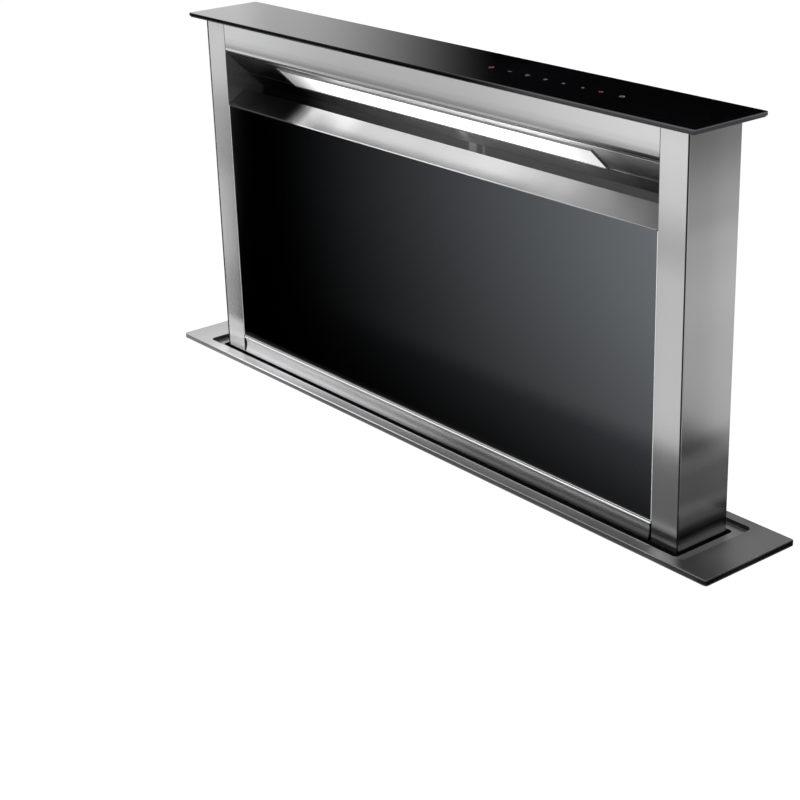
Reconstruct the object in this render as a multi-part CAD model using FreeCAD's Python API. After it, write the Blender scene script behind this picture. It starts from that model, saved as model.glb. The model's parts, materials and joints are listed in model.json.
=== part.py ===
import FreeCAD, Part
from FreeCAD import Vector, Matrix
import math
import os

# Downdraft vent, raised. Millimetres. +X to the user's right, +Y away from the user, +Z up.
# The origin is the centre of the worktop cut-out, level with the worktop's upper surface.

# ---- driving dimensions -------------------------------------------------------------------
sheet = 1.2                      # stainless sheet of the tower
thin_sheet = 1.0                 # galvanised sheet of the housing

frame_length, frame_depth, frame_height = 880.0, 123.0, 6.0
pocket_length, pocket_depth, pocket_radius = 797.0, 99.0, 6.0
ledge_thickness = 1.0            # floor of the pocket, round the tower
skirt_length, skirt_depth, skirt_drop = 846.0, 104.0, 25.0

tower_half, tower_front, tower_back = 380.5, -34.0, 32.0
tower_top, tower_bottom = 409.0, -152.0
post_inner = 345.0               # inner face of each post
groove = 1.7                     # shadow groove between post front and side cover
glass_length, glass_width, glass_thickness = 793.0, 95.0, 4.0
carrier_thickness = 1.0
glass_top = tower_top + carrier_thickness + glass_thickness
closed_gap = 0.2                 # glass stands this much proud when lowered
lift_travel = glass_top - frame_height - closed_gap

fascia_bottom, hem_radius = 372.0, 6.0
ceiling_front = (-31.6, 371.4)   # y, z of the inlet ceiling's front edge
ceiling_back = (16.0, 324.8)     # y, z where it meets the duct's back wall
lamp_half, lamp_start, lamp_end = 250.0, 9.3, 39.2   # along x, and along the ceiling's slope

door_bottom, door_top, door_half = 21.6, 309.9, 344.5
door_glass_thickness, door_depth = 3.5, 7.3
door_pivot = (-28.9, 25.4)       # y, z of the hinge pins
pin_radius, pin_clearance = 1.6, 0.08
rail_bottom, rail_top, rail_half = 1.5, 20.0, 343.5

filter_thickness, filter_height, filter_tilt = 9.0, 262.0, 6.8
filter_inner, filter_outer = 4.5, 343.5

house_half, house_front, house_back = 421.3, -50.3, 50.3
house_bottom = -690.0
belt_x, belt_width = 393.0, 9.0
pulley_radius, pulley_flange = 15.0, 17.5
belt_inner, belt_outer = 15.3, 17.1
idler_z, shaft_z, shaft_radius = -38.0, -628.0, 5.0
runner_bottom, runner_top = -150.0, -60.0

fan_z, fan_inlet_radius, wheel_radius = -330.0, 98.0, 93.0
scroll_depth, scroll_wall = 165.0, 1.5
outlet_left, outlet_right, outlet_z = -158.0, -8.0, -520.0
collar_radius, collar_end = 74.5, -600.0
flap_radius, flap_z = 72.0, -528.0


# ---- helpers ------------------------------------------------------------------------------
def block(x0, x1, y0, y1, z0, z1):
    return Part.makeBox(x1 - x0, y1 - y0, z1 - z0, Vector(x0, y0, z0))


def rod(axis, radius, start, end, across):
    """A cylinder along x, y or z from start to end; across holds its other two coordinates."""
    a, b = across
    base = {"x": Vector(start, a, b), "y": Vector(a, start, b), "z": Vector(a, b, start)}[axis]
    way = {"x": Vector(1, 0, 0), "y": Vector(0, 1, 0), "z": Vector(0, 0, 1)}[axis]
    return Part.makeCylinder(radius, end - start, base, way)


def rounded_plate(length, depth, z0, z1, radius, y_centre=0.0):
    """A flat plate centred on x = 0 with rounded upright corners."""
    plate = block(-length / 2, length / 2, y_centre - depth / 2, y_centre + depth / 2, z0, z1)
    upright = [e for e in plate.Edges if abs(e.tangentAt(e.FirstParameter).z) > 0.9]
    return plate.makeFillet(radius, upright)


def offset_path(path, thickness):
    """The path moved to its left by the sheet's thickness, with mitred bends."""
    normals = []
    for (a0, b0), (a1, b1) in zip(path, path[1:]):
        length = math.hypot(a1 - a0, b1 - b0)
        normals.append((-(b1 - b0) / length, (a1 - a0) / length))
    moved = []
    for i, (a, b) in enumerate(path):
        before, after = normals[max(i - 1, 0)], normals[min(i, len(normals) - 1)]
        scale = thickness / (1 + before[0] * after[0] + before[1] * after[1])
        moved.append((a + (before[0] + after[0]) * scale, b + (before[1] + after[1]) * scale))
    return moved


def polygon_x(points, x0, x1):
    """A closed outline of (y, z) points, extruded from x0 to x1."""
    corners = [Vector(x0, y, z) for y, z in points]
    face = Part.Face(Part.makePolygon(corners + corners[:1]))
    return face.extrude(Vector(x1 - x0, 0, 0))


def polygon_z(points, z0, z1):
    """A closed outline of (x, y) points, extruded from z0 to z1."""
    corners = [Vector(x, y, z0) for x, y in points]
    face = Part.Face(Part.makePolygon(corners + corners[:1]))
    return face.extrude(Vector(0, 0, z1 - z0))


def folded_x(path, thickness, x0, x1):
    return polygon_x(path + offset_path(path, thickness)[::-1], x0, x1)


def folded_z(path, thickness, z0, z1):
    return polygon_z(path + offset_path(path, thickness)[::-1], z0, z1)


def mirrored(shape):
    """The same piece on the other side of x = 0."""
    return shape.mirror(Vector(0, 0, 0), Vector(1, 0, 0))


def joined(first, *others):
    return first.multiFuse(list(others)).removeSplitter()


def without(shape, *cutters):
    return shape.cut(list(cutters))


def save(name, shape):
    if not shape.isValid() or shape.Volume <= 0:
        raise ValueError(name + " is not a sound solid")
    if len(shape.Solids) == 1:
        shape = shape.Solids[0]
    shape.exportStep("parts/" + name + ".step")
    print(name, len(shape.Solids), round(shape.Volume / 1000, 2), "cm3")


def save_pair(name, right):
    """A right-hand piece and its mirror image on the left."""
    save(name + "_right", right)
    save(name + "_left", mirrored(right))


# ---- worktop frame ------------------------------------------------------------------------
def worktop_frame():
    plate = rounded_plate(frame_length, frame_depth, 0, frame_height, 3.0)
    rim = [e for e in plate.Edges if min(v.Z for v in e.Vertexes) > frame_height - 0.01]
    plate = plate.makeFillet(1.4, rim)
    pocket = rounded_plate(pocket_length, pocket_depth, ledge_thickness, frame_height + 1, pocket_radius)
    mouth = (tower_front + tower_back) / 2
    passage = rounded_plate(2 * tower_half + 6, tower_back - tower_front + 6, -60, 20, 2.0, mouth)
    groove_cut = without(
        rounded_plate(872, 118, -1, 0.8, 2.0), rounded_plate(854, 109, -2, 2, 2.0))
    skirt = without(
        rounded_plate(skirt_length, skirt_depth, -skirt_drop, 0, 3.0),
        rounded_plate(skirt_length - 3, skirt_depth - 3, -skirt_drop - 1, 1, 0.3))
    ring = without(plate, pocket, passage, groove_cut)
    return joined(ring, skirt)


def frame_gasket():
    return without(rounded_plate(871, 117, 0, 0.8, 1.5), rounded_plate(855, 110, -1, 2, 1.5))


def tower_wiper():
    middle = (tower_front + tower_back) / 2
    outer = rounded_plate(800, 92, -4, 0, 3.0)
    inner = rounded_plate(2 * tower_half + 2, tower_back - tower_front + 2, -5, 1, 1.2, middle)
    return without(outer, inner)


# ---- under-counter housing ----------------------------------------------------------------
def housing_front_panel():
    panel = block(-house_half, house_half, house_front, house_front + thin_sheet, house_bottom, 0)
    ribs = [block(x - 12, x + 12, house_front - 2.5, house_front, house_bottom + 60, -140)
            for x in (-300, -150, 0, 150)]
    return joined(panel, *ribs)


def housing_rear_panel():
    panel = block(-house_half, house_half, house_back - thin_sheet, house_back, house_bottom, 0)
    return without(panel, rod("y", fan_inlet_radius, house_back - 5, house_back + 5, (0, fan_z)))


def housing_side_panel():
    """Right side panel, folded in a flange along the front and the rear panel."""
    inner = house_half - thin_sheet
    front, back = house_front + thin_sheet, house_back - thin_sheet
    path = [(inner - 12, front), (house_half, front), (house_half, back), (inner - 12, back)]
    return folded_z(path, thin_sheet, house_bottom + thin_sheet, 0)


def housing_floor():
    inner = house_half - thin_sheet
    front, back = house_front + thin_sheet, house_back - thin_sheet
    tray = block(-inner, inner, front, back, house_bottom, house_bottom + 16)
    hollow = block(-inner - 1, inner + 1, front + 1, back - 1, house_bottom + thin_sheet, 0)
    corners = [block(s * inner - 13.5, s * inner + 13.5, front - 1, back + 1,
                     house_bottom + thin_sheet, 0) for s in (-1, 1)]
    return without(tray, hollow, *corners)


def clamp_bracket():
    path = [(house_half, -110), (house_half, -45), (452, -45)]
    corners = [Vector(x, -20, z) for x, z in path + offset_path(path, -3)[::-1]]
    bracket = Part.Face(Part.makePolygon(corners + corners[:1])).extrude(Vector(0, 40, 0))
    return without(bracket, rod("z", 3.0, -60, -30, (441, 0)))


def clamp_screws():
    screws = []
    for side in (-1, 1):
        shank = rod("z", 3.0, -84, -40, (side * 441, 0))
        pad = rod("z", 7.0, -42, -39, (side * 441, 0))
        head = rod("z", 5.5, -88, -83, (side * 441, 0))
        screws.append(joined(shank, pad, head))
    return Part.makeCompound(screws)


def floor_bracket():
    foot = block(380, 455, -35, 35, house_bottom - 3, house_bottom)
    upright = block(house_half, house_half + 3, -35, 35, house_bottom - 3, house_bottom + 60)
    holes = [rod("z", 3.25, house_bottom - 5, house_bottom + 1, (441, y)) for y in (-22, 22)]
    return without(joined(foot, upright), *holes)


def panel_screws():
    heads = []
    for z in (-60, -240, -420, -600):
        for x in (-414, 414):
            heads.append(rod("y", 3.6, house_front - 2, house_front, (x, z)))
            heads.append(rod("y", 3.6, house_back, house_back + 2, (x, z)))
    return Part.makeCompound(heads)


# ---- lift ---------------------------------------------------------------------------------
def guide_rail():
    """T-section rail on the right side panel; its top plate carries the idler's axle."""
    wall = house_half - thin_sheet
    base = block(wall - 3, wall, -14, 14, -600, -18)
    head = block(408, wall - 3, -7, 7, -600, runner_top + 1)
    axle = rod("x", 4.0, 386.5, wall - 3, (0, idler_z))
    cap = rod("x", 6.0, 384.0, 386.5, (0, idler_z))
    return joined(base, head, axle, cap)


def pulley(x_centre, z_centre, bore):
    half = belt_width / 2 + 0.3
    core = rod("x", pulley_radius, x_centre - half, x_centre + half, (0, z_centre))
    walls = [rod("x", pulley_flange, x_centre + a, x_centre + a + 1.2, (0, z_centre))
             for a in (-half - 1.2, half)]
    hole = rod("x", bore, x_centre - 20, x_centre + 20, (0, z_centre))
    return without(joined(core, *walls), hole)


def lift_belt():
    def loop(radius, x0, x1):
        ends = [rod("x", radius, x0, x1, (0, z)) for z in (idler_z, shaft_z)]
        return joined(block(x0, x1, -radius, radius, shaft_z, idler_z), *ends)
    x0, x1 = belt_x - belt_width / 2, belt_x + belt_width / 2
    return without(loop(belt_outer, x0, x1), loop(belt_inner, x0 - 1, x1 + 1))


def drive_shaft():
    shaft = rod("x", shaft_radius, -402, 402, (0, shaft_z))
    flat = block(-14, 14, shaft_radius - 0.8, shaft_radius + 1, shaft_z - 10, shaft_z + 10)
    return without(shaft, flat)


def drive_pulleys():
    return Part.makeCompound([pulley(side * belt_x, shaft_z, shaft_radius) for side in (-1, 1)])


def shaft_bearings():
    blocks = []
    for x in (-368, 368):
        body = block(x - 8, x + 8, -16, 16, house_bottom + thin_sheet, shaft_z + 16)
        foot = block(x - 8, x + 8, -32, 32, house_bottom + thin_sheet, house_bottom + 7)
        hole = rod("x", shaft_radius + 0.06, x - 20, x + 20, (0, shaft_z))
        blocks.append(without(joined(body, foot), hole))
    return Part.makeCompound(blocks)


def gearmotor():
    box = block(-22, 22, -44, 20, house_bottom + 4, shaft_z + 20)
    motor = rod("x", 20, 22, 142, (-22, shaft_z - 34))
    cap = rod("x", 12, 142, 152, (-22, shaft_z - 34))
    hole = rod("x", shaft_radius + 0.06, -40, 40, (0, shaft_z))
    return without(joined(box, motor, cap), hole)


def gearmotor_bracket():
    foot = block(-40, 40, -46, 46, house_bottom + thin_sheet, house_bottom + 4)
    upright = block(-40, 40, 20, 23, house_bottom + thin_sheet, shaft_z + 20)
    return joined(foot, upright)


def runner():
    """Slider on the right guide rail, with its arm to the tower and its clamp on the belt."""
    slider = block(400, 416.5, -13.5, 13.5, runner_bottom, runner_top)
    slot = block(407.6, 417, -7.3, 7.3, runner_bottom - 1, runner_top + 1)
    arm = block(tower_half, 400, -10, 10, runner_bottom, runner_top)
    clamp = block(384, 400, -22, -10, -120, -90)
    belt_slot = block(belt_x - belt_width / 2 - 0.3, belt_x + belt_width / 2 + 0.3,
                      -belt_outer - 0.3, -belt_inner + 0.3, -121, -89)
    return without(joined(slider, arm, clamp), slot, belt_slot)


# ---- fan ----------------------------------------------------------------------------------
def scroll_outline(inset, y):
    """The fan scroll's spiral of three growing quarter turns, running out downwards."""
    step = 12.0
    centres = [(6, fan_z), (6 - step, fan_z), (6 - step, fan_z - step)]
    edges = []
    for turn, (cx, cz) in enumerate(centres):
        radius = 128 + turn * step - inset
        angles = [math.radians(90 * (turn - 1) + a) for a in (0, 45, 90)]
        points = [Vector(cx + radius * math.cos(a), y, cz + radius * math.sin(a)) for a in angles]
        edges.append(Part.Arc(*points).toShape())
    left, right = outlet_left + inset, outlet_right - inset
    tongue = fan_z - 128 + inset
    corners = [Vector(left, y, fan_z - step), Vector(left, y, outlet_z), Vector(right, y, outlet_z),
               Vector(right, y, tongue), Vector(6, y, tongue)]
    edges += [Part.makeLine(a, b) for a, b in zip(corners, corners[1:])]
    return Part.Face(Part.Wire(Part.__sortEdges__(edges)))


def fan_scroll():
    y0, y1 = house_back, house_back + scroll_depth
    outside = scroll_outline(0, y0).extrude(Vector(0, scroll_depth, 0))
    hollow = scroll_outline(scroll_wall, y0 + scroll_wall).extrude(
        Vector(0, scroll_depth - 2 * scroll_wall, 0))
    mouth = block(outlet_left + scroll_wall, outlet_right - scroll_wall,
                  y0 + scroll_wall, y1 - scroll_wall, outlet_z - 1, outlet_z + 5)
    inlet = rod("y", fan_inlet_radius - 3, y0 - 1, y0 + 5, (0, fan_z))
    return without(outside, hollow, mouth, inlet)


def fan_motor():
    back = house_back + scroll_depth - scroll_wall
    body = rod("y", 52, 154, back, (0, fan_z))
    nose = rod("y", 20, 150, 154, (0, fan_z))
    shaft = rod("y", 4, 112, 150, (0, fan_z))
    return joined(body, nose, shaft)


def fan_wheel():
    disc = rod("y", wheel_radius, 143, 146, (0, fan_z))
    hub = rod("y", 14, 118, 146, (0, fan_z))
    ring = without(rod("y", wheel_radius, 70, 73, (0, fan_z)), rod("y", 78, 60, 80, (0, fan_z)))
    blades = []
    for i in range(30):
        blade = block(79, 92.5, 72, 144, fan_z - 0.6, fan_z + 0.6)
        blade.rotate(Vector(79, 0, fan_z), Vector(0, 1, 0), 25)
        blade.rotate(Vector(0, 0, fan_z), Vector(0, 1, 0), i * 12)
        blades.append(blade)
    whole = joined(disc, hub, ring, *blades)
    trim = without(rod("y", 120, 60, 150, (0, fan_z)), rod("y", wheel_radius, 59, 151, (0, fan_z)))
    return without(whole, rod("y", 4.06, 110, 150, (0, fan_z)), trim)


def outlet_middle():
    return (outlet_left + outlet_right) / 2, house_back + scroll_depth / 2


def outlet_collar():
    cx, cy = outlet_middle()
    flange = block(outlet_left, outlet_right, house_back, house_back + scroll_depth,
                   outlet_z - 1.5, outlet_z)
    tube = rod("z", collar_radius, collar_end, outlet_z, (cx, cy))
    bore = rod("z", collar_radius - 1.5, collar_end - 1, outlet_z + 1, (cx, cy))
    pivot = rod("y", 1.5, cy - collar_radius + 0.5, cy + collar_radius - 0.5, (cx, flap_z))
    return joined(without(joined(flange, tube), bore), pivot)


def damper_flap():
    """Right half of the non-return damper: a half disc on one curled hinge eye."""
    cx, cy = outlet_middle()
    disc = rod("z", flap_radius, flap_z - 0.5, flap_z + 0.5, (cx, cy))
    half = disc.common(block(cx + 2.9, cx + 200, cy - 200, cy + 200, flap_z - 5, flap_z + 5))
    return half


def damper_knuckles(side, spans):
    """Hinge eyes round the pivot rod, joined to the flap by short tabs."""
    cx, cy = outlet_middle()
    eyes = []
    for y0, y1 in spans:
        eye = without(rod("y", 2.6, cy + y0, cy + y1, (cx, flap_z)),
                      rod("y", 1.56, cy + y0 - 1, cy + y1 + 1, (cx, flap_z)))
        near, far = sorted((cx + side * 1.9, cx + side * 4.0))
        tab = block(near, far, cy + y0, cy + y1, flap_z - 0.5, flap_z + 0.5)
        eyes.append(joined(eye, tab))
    return eyes


def damper_flaps():
    cx, _ = outlet_middle()
    right = damper_flap()
    left = right.mirror(Vector(cx, 0, 0), Vector(1, 0, 0))
    right = joined(right, *damper_knuckles(1, [(-60, -40), (20, 40)]))
    left = joined(left, *damper_knuckles(-1, [(-38, -18), (42, 60)]))
    save("damper_flap_right", right)
    save("damper_flap_left", left)


# ---- controls -----------------------------------------------------------------------------
def control_box():
    outside = block(200, 380, house_front - 47, house_front, house_bottom + 40, -510)
    hollow = block(202, 378, house_front - 48, house_front - 2, house_bottom + 42, -512)
    entry = rod("x", 8.2, 370, 390, (-75, -600))
    return without(outside, hollow, entry)


def control_box_lid():
    lid = block(199, 381, house_front - 49, house_front - 47, house_bottom + 39, -509)
    upright = [e for e in lid.Edges if abs(e.tangentAt(e.FirstParameter).y) > 0.9]
    return lid.makeFillet(3.0, upright)


def circuit_board():
    board = block(210, 370, -62, -60.4, -642, -520)
    posts = [rod("y", 3, -60.4, house_front - 2, (x, z)) for x in (220, 360) for z in (-632, -530)]
    relays = [block(x, x + 18, -78, -62, -560, -532) for x in (225, 250, 275)]
    capacitor = rod("y", 14, -92, -62, (335, -548))
    terminal = block(320, 364, -76, -62, -622, -606)
    return joined(board, *posts, *relays, capacitor, terminal)


def cable_gland():
    body = rod("x", 8.0, 376, 396, (-75, -600))
    flange = rod("x", 13.0, 380, 386, (-75, -600))
    nut = rod("x", 12.0, 386, 398, (-75, -600))
    return without(joined(body, flange, nut), rod("x", 4.2, 370, 400, (-75, -600)))


# ---- tower --------------------------------------------------------------------------------
def post():
    """Right post: a folded channel, open to the side, where the side cover closes it."""
    front_edge = tower_half - sheet - groove
    path = [(front_edge, tower_front + 10), (front_edge, tower_front), (post_inner, tower_front),
            (post_inner, tower_back - sheet), (tower_half - sheet, tower_back - sheet)]
    channel = folded_z(path, -sheet, tower_bottom, tower_top)
    eye = rod("x", pin_radius + pin_clearance, post_inner - 1, post_inner + 5, door_pivot)
    return without(channel, eye)


def side_cover():
    return block(tower_half - sheet, tower_half, tower_front, tower_back, tower_bottom, tower_top)


def tower_back_panel():
    half = tower_half - sheet
    return block(-half, half, tower_back - sheet, tower_back, tower_bottom, tower_top)


def upper_fascia():
    """Band under the glass, rolled in along its lower edge."""
    half, r, t = post_inner - 0.8, hem_radius, sheet
    y, z = tower_front, fascia_bottom
    cy, cz = y + r, z + r
    slant = math.sqrt(0.5)

    def bow(radius):
        points = [Vector(-half, cy - radius, cz), Vector(-half, cy - radius * slant, cz - radius * slant),
                  Vector(-half, cy, cz - radius)]
        return Part.Arc(*points).toShape()

    corners = [(y, cz), (y, tower_top), (y + t, tower_top), (y + t, cz)]
    outer = [Part.makeLine(Vector(-half, *a), Vector(-half, *b)) for a, b in zip(corners, corners[1:])]
    lip = [(cy, z), (cy + 4, z), (cy + 4, z + t), (cy, z + t)]
    lower = [Part.makeLine(Vector(-half, *a), Vector(-half, *b)) for a, b in zip(lip, lip[1:])]
    wire = Part.Wire(Part.__sortEdges__(outer + lower + [bow(r), bow(r - t)]))
    return Part.Face(wire).extrude(Vector(2 * half, 0, 0))


def slope_block(x0, x1, s0, s1, n0, n1):
    """A block lying on the inlet ceiling: s runs down its slope, n stands up off its upper side."""
    (y0, z0), (y1, z1) = ceiling_front, ceiling_back
    length = math.hypot(y1 - y0, z1 - z0)
    sy, sz = (y1 - y0) / length, (z1 - z0) / length
    corners = [(s0, n0), (s1, n0), (s1, n1), (s0, n1)]
    return polygon_x([(y0 + s * sy - n * sz, z0 + s * sz + n * sy) for s, n in corners], x0, x1)


def inlet_ceiling():
    (y0, z0), (y1, z1) = ceiling_front, ceiling_back
    length = math.hypot(y1 - y0, z1 - z0)
    slab = slope_block(-post_inner, post_inner, 0, length, 0, 1)
    window = slope_block(-lamp_half - 0.4, lamp_half + 0.4, lamp_start - 0.4, lamp_end + 0.4, -1, 2)
    return without(slab, window)


def lamp_diffuser():
    lens = slope_block(-lamp_half, lamp_half, lamp_start, lamp_end, -0.6, 1)
    flange = slope_block(-lamp_half - 0.4, lamp_half + 0.4, lamp_start - 1, lamp_end + 1, 1, 2.2)
    return joined(lens, flange)


def lamp_housing():
    edge = lamp_half + 2
    outside = slope_block(-edge, edge, lamp_start - 3, lamp_end + 3, 1, 14)
    hollow = slope_block(-edge + 1.5, edge - 1.5, lamp_start - 1.5, lamp_end + 1.5, 0, 12.5)
    board = slope_block(-edge + 6, edge - 6, 18, 30, 11, 12.6)
    return joined(without(outside, hollow), board)


def deflector():
    """Lower lip of the inlet: a strip that slopes up and back, folded down behind."""
    path = [(-10, 316), (-10, 326), (-33.9, 311.2)]
    return folded_x(path, 0.8, -post_inner, post_inner)


def duct_back_wall():
    y, z = ceiling_back
    return block(-post_inner, post_inner, y, y + 1, -122, z)


def lower_rail():
    """Rail under the door: a shallow cove with a flange turned back along its foot."""
    y, t, sink = tower_front, sheet, 2.5
    middle = (rail_bottom + rail_top) / 2

    def bow(shift):
        points = [Vector(-rail_half, y + shift, rail_bottom), Vector(-rail_half, y + sink + shift, middle),
                  Vector(-rail_half, y + shift, rail_top)]
        return Part.Arc(*points).toShape()

    top = Part.makeLine(Vector(-rail_half, y, rail_top), Vector(-rail_half, y + t, rail_top))
    foot = Part.makeLine(Vector(-rail_half, y, rail_bottom), Vector(-rail_half, y + t, rail_bottom))
    cove = Part.Face(Part.Wire(Part.__sortEdges__([bow(0), top, bow(t), foot])))
    cove = cove.extrude(Vector(2 * rail_half, 0, 0))
    flange = block(-rail_half, rail_half, y, y + 14, rail_bottom - sheet, rail_bottom)
    return joined(cove, flange)


def lower_skirt():
    half = post_inner - 0.8
    return block(-half, half, tower_front, tower_front + sheet, tower_bottom, rail_bottom - sheet)


def carriage_frame():
    """Ring that joins the two posts at the tower's foot and leaves the air's way open."""
    y0, y1 = tower_front + sheet, tower_back - sheet
    ring = block(-post_inner, post_inner, y0, y1, tower_bottom, tower_bottom + 30)
    hollow = block(-post_inner + 2, post_inner - 2, y0 + 2, y1 - 2, tower_bottom - 1, tower_bottom + 31)
    braces = [block(x - 1.5, x + 1.5, y0 + 2, y1 - 2, tower_bottom, tower_bottom + 30)
              for x in (-120, 120)]
    return joined(without(ring, hollow), *braces)


def filter_support():
    shelf = block(-post_inner, post_inner, -25.5, -14, 33, 35)
    divider = block(-4, 4, -24, ceiling_back[0], 33, 303)
    return joined(shelf, divider)


def grease_filter():
    """Right filter: a framed cassette that leans back against the duct's back wall."""
    x0, x1, t, h = filter_inner, filter_outer, filter_thickness, filter_height
    frame = block(x0, x1, 0, t, 0, h)
    dish_front = block(x0 + 11, x1 - 11, -1, 2, 11, h - 11)
    dish_back = block(x0 + 11, x1 - 11, t - 2, t + 1, 11, h - 11)
    slots = []
    columns, rows = 11, 3
    step_x, step_z = (x1 - x0 - 22) / columns, (h - 22) / rows
    for i in range(columns):
        for k in range(rows):
            left, low = x0 + 11 + i * step_x, 11 + k * step_z
            slots.append(block(left + 5, left + step_x - 5, 0, t, low + 6, low + step_z - 6))
    cassette = without(frame, dish_front, dish_back, *slots)
    cassette.rotate(Vector(0, 0, 0), Vector(1, 0, 0), -filter_tilt)
    drop = t * math.sin(math.radians(filter_tilt))
    cassette.translate(Vector(0, -24.8, 35 + drop))
    return cassette


def door_magnets():
    return Part.makeCompound([block(a, b, -26, -20, 292, 304)
                              for a, b in ((-post_inner, -328), (328, post_inner))])


def top_glass():
    slab = rounded_plate(glass_length, glass_width, tower_top + carrier_thickness, glass_top, 4.0)
    rim = [e for e in slab.Edges if min(v.Z for v in e.Vertexes) > glass_top - 0.01]
    return slab.makeChamfer(0.5, rim)


def glass_carrier():
    plate = rounded_plate(glass_length - 1, glass_width - 1, tower_top, tower_top + carrier_thickness, 3.5)
    window = block(72, 284, -14, 14, tower_top - 1, tower_top + 2)
    ring = without(block(-343, 343, -31, 29, tower_top - 9, tower_top),
                   block(-341, 341, -29, 27, tower_top - 10, tower_top + 1))
    return joined(without(plate, window), ring)


def touch_module():
    tray = block(66, 290, -18, 18, tower_top - 7, tower_top)
    sensors = block(73, 283, -13, 13, tower_top, tower_top + 0.9)
    return joined(tray, sensors)


# ---- door ---------------------------------------------------------------------------------
def door_glass():
    half = door_half - 0.8
    y = tower_front
    return block(-half, half, y, y + door_glass_thickness, door_bottom + 0.8, door_top)


def door_frame():
    """Tray behind the glass, rimmed along the foot and sides, with a hinge pin at each lower corner."""
    y0 = tower_front + 0.2
    seat, back = tower_front + door_glass_thickness, tower_front + door_depth + 0.2
    tray = block(-door_half, door_half, y0, back, door_bottom, door_top)
    glass_bed = block(-door_half + 0.7, door_half - 0.7, y0 - 1, seat, door_bottom + 0.7, door_top + 1)
    rear_bed = block(-door_half + 0.7, door_half - 0.7, seat + 1.2, back + 1, door_bottom + 0.7, door_top - 1)
    window = block(-door_half + 18, door_half - 18, y0 - 1, back + 1, door_bottom + 18, door_top - 18)
    shell = without(tray, glass_bed, rear_bed, window)
    parts = []
    for side in (-1, 1):
        near, far = sorted((side * (door_half - 9), side * (door_half - 0.6)))
        parts.append(block(near, far, seat, back, door_bottom + 0.6, door_bottom + 8))
        start, end = sorted((side * (door_half - 8), side * (door_half + 4)))
        parts.append(rod("x", pin_radius, start, end, door_pivot))
    return joined(shell, *parts)


# ---- build --------------------------------------------------------------------------------
os.makedirs("parts", exist_ok=True)

for piece in (worktop_frame, frame_gasket, tower_wiper, housing_front_panel, housing_rear_panel,
              housing_floor, clamp_screws, panel_screws, drive_shaft, drive_pulleys,
              shaft_bearings, gearmotor, gearmotor_bracket, fan_scroll, fan_motor, fan_wheel,
              outlet_collar, control_box, control_box_lid, circuit_board, cable_gland,
              tower_back_panel, upper_fascia, inlet_ceiling, lamp_diffuser, lamp_housing, deflector,
              duct_back_wall, lower_rail, lower_skirt, carriage_frame, filter_support, door_magnets,
              top_glass, glass_carrier, touch_module, door_glass, door_frame):
    save(piece.__name__, piece())

save("housing_right_panel", housing_side_panel())
save("housing_left_panel", mirrored(housing_side_panel()))
for name, piece in (("clamp_bracket", clamp_bracket), ("floor_bracket", floor_bracket),
                    ("guide_rail", guide_rail), ("lift_belt", lift_belt), ("runner", runner),
                    ("post", post), ("side_cover", side_cover), ("grease_filter", grease_filter)):
    save_pair(name, piece())
save_pair("idler_pulley", pulley(belt_x, idler_z, 4.06))
damper_flaps()
print("lift travel", round(lift_travel, 1))
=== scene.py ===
import math
import bmesh
import bpy
import json
from mathutils import Matrix, Vector


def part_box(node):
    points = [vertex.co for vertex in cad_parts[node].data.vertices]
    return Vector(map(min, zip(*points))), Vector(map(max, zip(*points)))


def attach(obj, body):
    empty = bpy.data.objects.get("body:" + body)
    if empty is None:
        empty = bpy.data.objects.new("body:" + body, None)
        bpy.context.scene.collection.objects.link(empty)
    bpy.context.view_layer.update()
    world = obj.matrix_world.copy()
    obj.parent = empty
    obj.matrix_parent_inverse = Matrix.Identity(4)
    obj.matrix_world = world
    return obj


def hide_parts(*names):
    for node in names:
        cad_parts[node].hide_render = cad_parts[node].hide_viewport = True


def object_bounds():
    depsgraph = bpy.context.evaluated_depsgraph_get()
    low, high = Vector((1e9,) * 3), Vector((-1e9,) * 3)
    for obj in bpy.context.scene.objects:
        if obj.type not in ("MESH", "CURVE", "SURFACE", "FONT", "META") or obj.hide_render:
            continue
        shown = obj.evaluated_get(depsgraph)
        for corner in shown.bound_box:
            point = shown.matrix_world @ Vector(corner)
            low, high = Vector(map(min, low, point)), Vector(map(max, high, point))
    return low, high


# Downdraft vent, raised out of a worktop. Metres, +Z up, the user stands at -Y.
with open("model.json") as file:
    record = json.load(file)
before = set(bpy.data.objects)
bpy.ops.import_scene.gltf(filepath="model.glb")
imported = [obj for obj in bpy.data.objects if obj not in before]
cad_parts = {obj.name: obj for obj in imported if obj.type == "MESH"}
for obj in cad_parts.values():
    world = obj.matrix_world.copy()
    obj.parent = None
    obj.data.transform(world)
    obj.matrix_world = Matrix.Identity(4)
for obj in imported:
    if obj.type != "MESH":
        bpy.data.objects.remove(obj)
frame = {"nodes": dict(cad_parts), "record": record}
cadLow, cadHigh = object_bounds()
nodes = frame["nodes"]
bodies = frame["record"]["behaviour"]["bodies"]
bodyOf = {name: body for body, members in bodies.items() for name in members}


# camera
camera = {
    "azimuth": 51.994,  # degrees round from the front, towards +X
    "pitch": 21.70,
    "roll": -1.886,
    "lens": 80.45,
    "shiftUp": -0.04,
    "place": (1.400773, -1.156086, 0.793286),
}


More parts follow.
